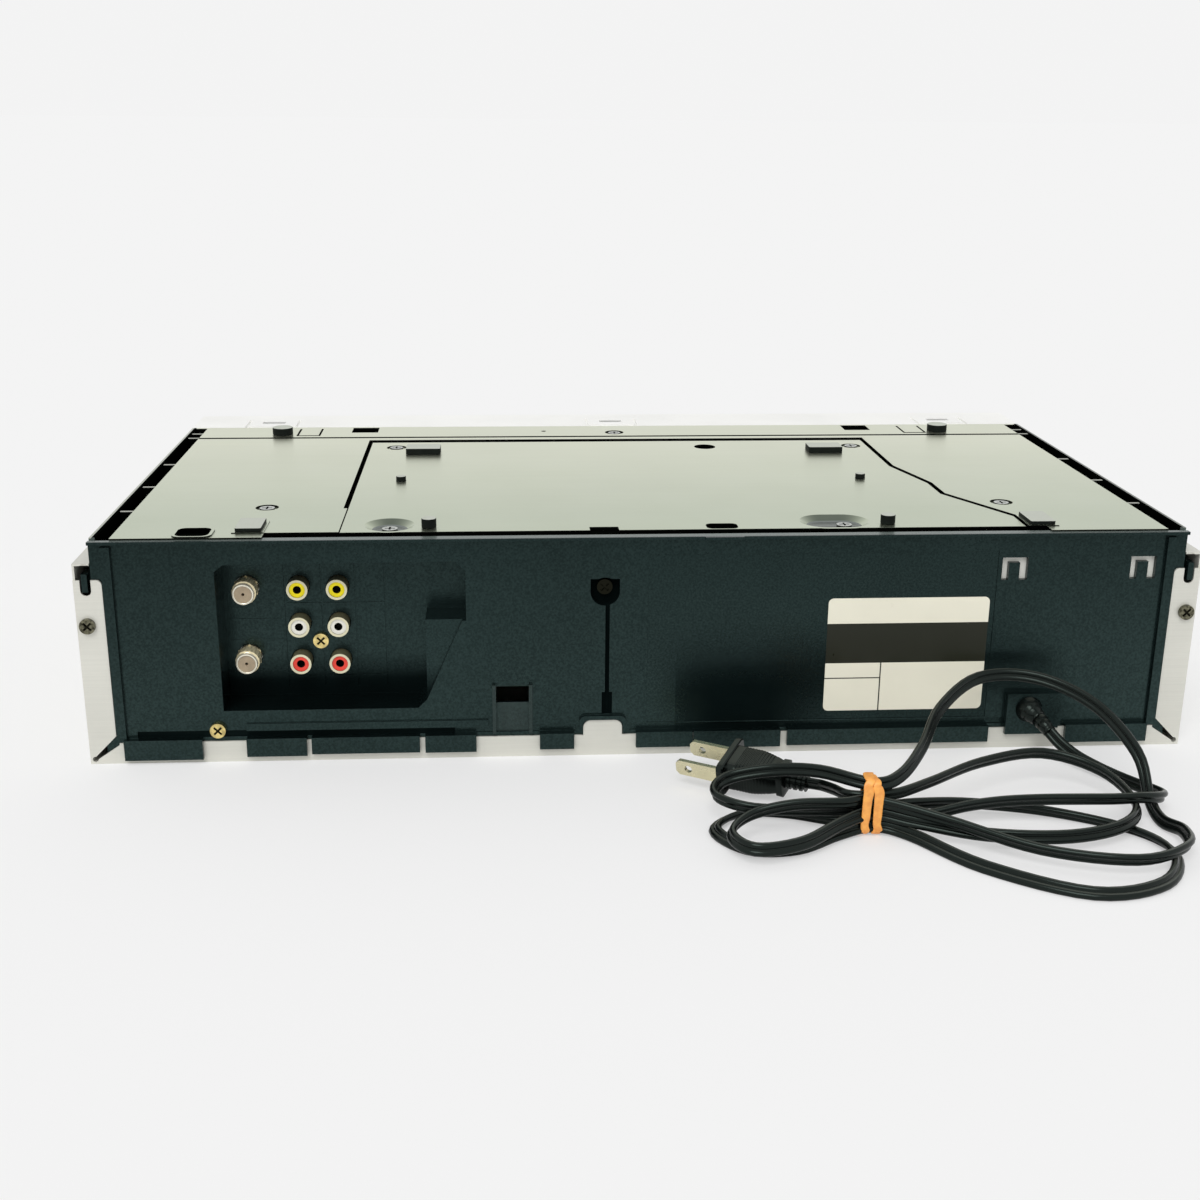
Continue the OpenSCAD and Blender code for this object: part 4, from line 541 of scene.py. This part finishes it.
TAIL = [[65, -68, 12.6], [61.6, -60.5, 11.4], [58.8, -54, 10], [56.3, -51.9, 9.7]]
PLUG_AT, PLUG_LEN = (26.7, -33.5, 9.5), 32.0
PLUG_YAW, PLUG_ROLL = math.radians(-31.9), math.radians(13.6)
PLUG_END = [PLUG_AT[0] + PLUG_LEN * math.cos(PLUG_YAW), PLUG_AT[1] + PLUG_LEN * math.sin(PLUG_YAW),
            PLUG_AT[2]]


def waist_pass(side, row):
    """Where a strand goes under the band, in the column nearer the case (1) or the other (-1)."""
    return [[WAIST[0], WAIST[1] + side * COLUMN, ROW_Z + ROW_STEP * row]]


cord_points = (LEAD + waist_pass(1, 0) + LEFT_LOW + waist_pass(-1, 0) + RIGHT_LOW + waist_pass(1, 1)
               + LEFT_HIGH + waist_pass(1, 3) + RIGHT_ARCH + waist_pass(-1, 2) + LEFT_FRONT
               + waist_pass(-1, 1) + RIGHT_MID + waist_pass(1, 2) + TAIL + [PLUG_END])
cord_path = through(cord_points, 6)

# Two round cores in one flat jacket: each ray's length is the longer of the core's edge and the web's.
ray = np.linspace(0, 2 * np.pi, 36, endpoint=False)
core_r, core_at, web = CORD_T / 2, (CORD_W - CORD_T) / 2, 0.7
core_edge = core_at * np.abs(np.cos(ray)) + np.sqrt(
    np.maximum(core_r**2 - (core_at * np.sin(ray)) ** 2, 0))
web_edge = np.minimum(web / np.maximum(np.abs(np.sin(ray)), 1e-6), core_at / np.maximum(
    np.abs(np.cos(ray)), 1e-6))
jacket = np.maximum(core_edge, web_edge)[:, None] * np.stack([np.cos(ray), np.sin(ray)], -1)

_, cord_side, cord_up = directions(cord_path)
lean = np.arcsin(np.clip((cord_path[:, 2] - 1.25) / 1.25, 0.25, 0.92))
lean = eased(lean, 9)[:, None]
wide = np.cos(lean) * cord_side + np.sin(lean) * cord_up
thin = -np.sin(lean) * cord_side + np.cos(lean) * cord_up
mains_cord = build("mains_cord", [lofted(swept(cord_path, wide, thin, jacket))], "cord_black",
                   stands_for=("cord_lead", "cord_hank"))

# Tapered strain relief: rings whose radius falls from the panel's bore to the cord, with shallow ribs.
RELIEF = [[151.6, 6.2, 17], [151.6, 1.5, 17], [151.6, -2.6, 16.9], [152.7, -4.7, 15.9],
          [154.3, -6.3, 14.5], [155.2, -9.6, 13.7], [156.8, -12.4, 11.7]]
RELIEF_R = [5.2, 5.2, 5.0, 4.2, 3.2, 2.9, 2.6]
RELIEF_RIB = 0.22
relief_path = through(RELIEF, 8)
share = np.linspace(0, len(RELIEF) - 1, len(relief_path))
relief_r = np.interp(share, range(len(RELIEF)), RELIEF_R)
relief_r = relief_r - RELIEF_RIB * (np.sin(share * 8.0) > 0.3) * (share > 2.2)
ring = np.stack([np.cos(ray), np.sin(ray)], -1)
_, relief_side, relief_up = directions(relief_path)
strain_relief = build("strain_relief", [lofted(swept(relief_path, relief_side, relief_up,
                                                     relief_r[:, None, None] * ring))],
                      "cord_black", stands_for=("cord_bushing",), sharp=50)


# Plug: rounded rectangles along its own axis, ribbed across the grip, then nub and ridged relief
def plug_frame(local):
    """Local (along, blade spacing, blade width) to the recorder's millimetres."""
    turn = (Matrix.Rotation(PLUG_YAW, 3, "Z") @ Matrix.Rotation(PLUG_ROLL, 3, "X"))
    return np.asarray(local) @ np.array(turn).T + np.array(PLUG_AT)


def rounded_rings(stations, power, count=56):
    """Rings of (along, half width, half height): |x/a|^power + |y/b|^power = 1 at each station."""
    s = np.asarray(stations, float)
    a = np.linspace(0, 2 * np.pi, count, endpoint=False)
    cx = np.sign(np.cos(a)) * np.abs(np.cos(a)) ** (2 / power)
    cy = np.sign(np.sin(a)) * np.abs(np.sin(a)) ** (2 / power)
    return np.stack([np.repeat(s[:, :1], count, 1), s[:, 1:2] * cx, s[:, 2:3] * cy], -1)


face_plate = [(0.0, 9.5, 5.9), (0.5, 10.3, 6.5), (2.5, 10.5, 6.7), (3.0, 10.2, 6.4)]
grip_t = np.linspace(2.9, 21.9, 120)
narrow = np.clip((grip_t - 12) / 9.9, 0, 1)
rib = 0.2 * (0.5 - 0.5 * np.cos(2 * np.pi * (grip_t - 6) / 1.15)) * ((grip_t > 6) & (grip_t < 18.6))
grip = np.stack([grip_t, 8 - 2.5 * narrow**1.5 - 0.3 * rib, 5.8 - 1.3 * narrow**1.5 - rib], -1)
nub = [(21.6, 4.8, 4.2), (21.8, 5.5, 5.5), (24.2, 5.6, 5.6), (24.5, 4.2, 4.2)]
ridge_t = np.linspace(24.2, 32.0, 60)
ridge_up = np.sin((ridge_t - 25.2) * 2 * np.pi / 2.2) > 0.1
ridge_r = 3.0 + 0.6 * ridge_up - 0.35 * (ridge_t - 24.2) / 7.8
relief = np.stack([ridge_t, ridge_r, ridge_r], -1)
plug_shapes = [lofted(place(plug_frame(rounded_rings(part, power))))
               for part, power in ((face_plate, 9), (grip, 5), (nub, 6), (relief, 2.2))]
plug_shell = build("plug_shell", plug_shapes, "cord_black", stands_for=("plug_body",), sharp=30)

# Rubber band: one closed strand that goes round the bundle twice and crosses over itself
BAND_X, BAND_Z = 71.8, 10.95
BAND_HALF_Y, BAND_HALF_Z = 4.35, 10.15
STRAP_HALF_W, STRAP_HALF_T = 1.6, 0.42
turn = np.linspace(0, 2, 240, endpoint=False)
angle = 2 * np.pi * turn - 2.2
squareness = 2 / 5.0
band_y = BAND_HALF_Y * np.sign(np.cos(angle)) * np.abs(np.cos(angle)) ** squareness
band_z = BAND_HALF_Z * np.sign(np.sin(angle)) * np.abs(np.sin(angle)) ** squareness
lift = 1 + 0.035 * np.sin(np.pi * turn)
loop = np.stack([BAND_X + 2.3 * np.cos(np.pi * turn) + 0.25 * np.sin(7 * angle),
                 WAIST[1] + band_y * lift, BAND_Z + band_z * lift], -1)
loop_t = np.roll(loop, -1, 0) - np.roll(loop, 1, 0)
loop_t /= np.linalg.norm(loop_t, axis=1, keepdims=True)
outward = np.stack([np.zeros(len(loop)), np.cos(angle), np.sin(angle)], -1)
outward -= (outward * loop_t).sum(1, keepdims=True) * loop_t
outward /= np.linalg.norm(outward, axis=1, keepdims=True)
strip = rounded_rings([(0, STRAP_HALF_W, STRAP_HALF_T)], 3.2, 24)[0, :, 1:]
strip = strip[None] * (1 + 0.12 * np.sin(5 * angle)[:, None, None] * [1.0, 0.0])
band_rings = swept(loop, np.cross(loop_t, outward), outward, strip)
build("band_wraps", [lofted(band_rings, closed_rows=True)], "band_orange", stands_for=("rubber_band",),
      sharp=60)


# ---- Sockets ----

BAY_FLOOR = 18.0
AERIALS = [(-154.5, 65.0), (-154.8, 36.9)]
AERIAL_LEN = 9.6


def knurl(angles, along):
    """Shallow flutes round the wide part of the aerial socket, none elsewhere."""
    wide_part = (along > 2.6) & (along < 7.9)
    return 1 - 0.07 * (0.5 + 0.5 * np.cos(16 * angles)) * wide_part


def hexagon(angles, along):
    """Radius of a hexagon over that of its circle."""
    return np.cos(np.pi / 6) / np.cos((angles + np.pi / 6) % (np.pi / 3) - np.pi / 6) + 0 * along


thread_t = np.linspace(1.1, 2.3, 16)
thread = np.stack([thread_t, 4.05 - 0.15 * np.cos(2 * np.pi * thread_t / 0.6)], -1)
barrel = [(7.0, 0.9), (7.0, 3.3), (0.5, 3.32), (0.1, 3.4), (0.0, 3.6), (0.1, 4.0), (0.5, 4.2),
          (1.0, 4.2)]
rear = [(2.4, 4.2), (2.5, 4.6), (2.8, 4.8), (7.8, 4.8), (8.1, 4.6), (8.2, 4.2), (13.6, 4.2), (13.6, 0.9)]
nut = [(8.6, 1.0), (8.7, 4.9), (8.8, 5.0), (9.4, 5.0), (9.6, 4.9), (9.6, 1.0)]
socket_shapes = []
for x, z in AERIALS:
    start_at = [x, BAY_FLOOR - AERIAL_LEN, z]
    socket_shapes.append(turned(np.vstack([barrel, thread, rear]), start_at, [0, 1, 0], 96, knurl))
    socket_shapes.append(turned(nut, start_at, [0, 1, 0], 72, hexagon))
build("aerial_barrels", socket_shapes, "socket_nickel", stands_for=("aerial_sockets",), sharp=28)


# ---- Bevelled copies of the case ----


def softened(node_name, finish, width, body=CHASSIS, angle=32.0):
    """A merged copy of a model piece whose sharp edges carry a small round; it stands for that piece."""
    copy = bpy.data.objects.new(node_name + "_soft", NODES[node_name].data.copy())
    bpy.context.scene.collection.objects.link(copy)
    work = bmesh.new()
    work.from_mesh(copy.data)
    bmesh.ops.remove_doubles(work, verts=work.verts, dist=2e-6)
    bmesh.ops.dissolve_limit(work, angle_limit=math.radians(0.6), verts=work.verts, edges=work.edges)
    bmesh.ops.recalc_face_normals(work, faces=work.faces)
    work.to_mesh(copy.data)
    work.free()
    for attribute in [a.name for a in copy.data.attributes if a.name == "custom_normal"]:
        copy.data.attributes.remove(copy.data.attributes[attribute])
    copy.data.polygons.foreach_set("use_smooth", np.ones(len(copy.data.polygons), bool))
    copy.data.set_sharp_from_angle(angle=math.radians(angle))
    copy.data.materials.clear()
    copy.data.materials.append(FINISH[finish])
    bevel = copy.modifiers.new("edge", "BEVEL")
    bevel.width = width * MM
    bevel.segments = 2
    bevel.limit_method = "ANGLE"
    bevel.angle_limit = math.radians(angle)
    bevel.harden_normals = True
    bevel.use_clamp_overlap = True
    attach(copy, body)
    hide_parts(node_name)
    return copy


SLOT_OF = {row["node"]: row["material_slot"] for row in frame["record"]["subparts"]}
BODY_OF = {n: b for b, names in frame["record"]["behaviour"]["bodies"].items() for n in names}
ROUNDS = {"rear_panel": 0.25, "top_cover": 0.22, "main_frame": 0.25, "front_panel": 0.7,
          "base_plate": 0.15, "service_plate": 0.12, "foot_pads": 0.35, "round_feet": 0.3,
          "cassette_flap": 0.4, "power_button": 0.5, "eject_button": 0.5, "play_button": 0.5,
          "stop_button": 0.5, "rewind_button": 0.5, "forward_button": 0.5}
for node_name, width in ROUNDS.items():
    softened(node_name, SLOT_OF[node_name], width, BODY_OF[node_name])

for node_name, part in NODES.items():
    part.data.materials.clear()
    part.data.materials.append(FINISH[SLOT_OF[node_name]])


# ---- Floor, light and background ----

PAPER = 0.899
PAPER_SHARE = 0.45
FILL = 0.62


def backdrop_floor():
    """Pale floor: the background's own white to the eye and to gloss, with part of its real shading."""
    material = bpy.data.materials.new("paper")
    material.use_nodes = True
    tree = material.node_tree
    tree.nodes.clear()
    shade = node(tree, "BsdfDiffuse", {"Color": (0.96, 0.96, 0.96, 1.0)}).outputs[0]
    glow = node(tree, "Emission", {"Color": (PAPER, PAPER, PAPER, 1.0), "Strength": 1.0}).outputs[0]
    seen = node(tree, "LightPath")
    seen_share = calc(tree, "MULTIPLY", seen.outputs["Is Camera Ray"], PAPER_SHARE)
    blend = node(tree, "MixShader", {0: seen_share, 1: shade, 2: glow}).outputs[0]
    out = node(tree, "OutputMaterial", {"Surface": blend})
    tree.nodes.active = out
    return material


bpy.ops.mesh.primitive_plane_add(size=60.0, location=(0, 0, 0))
floor = bpy.context.object
floor.name = "floor"
floor.data.materials.append(backdrop_floor())

world = bpy.data.worlds.new("studio")
bpy.context.scene.world = world
world.use_nodes = True
sky = world.node_tree
sky.nodes.clear()
path_kind = node(sky, "LightPath")
shown = calc(sky, "MAXIMUM", path_kind.outputs["Is Camera Ray"], path_kind.outputs["Is Glossy Ray"])
strength = band(sky, shown, 0.0, 1.0, FILL, PAPER)
light = node(sky, "Background", {"Color": (1.0, 1.0, 1.0, 1.0), "Strength": strength})
node(sky, "OutputWorld", {"Surface": light.outputs[0]})

sun = bpy.data.objects.new("key", bpy.data.lights.new("key", "SUN"))
sun.data.energy, sun.data.angle = 1.35, math.radians(35)
sun.rotation_euler = (math.radians(38), math.radians(-16), 0.0)
bpy.context.scene.collection.objects.link(sun)

bpy.context.scene.view_settings.view_transform = "Standard"
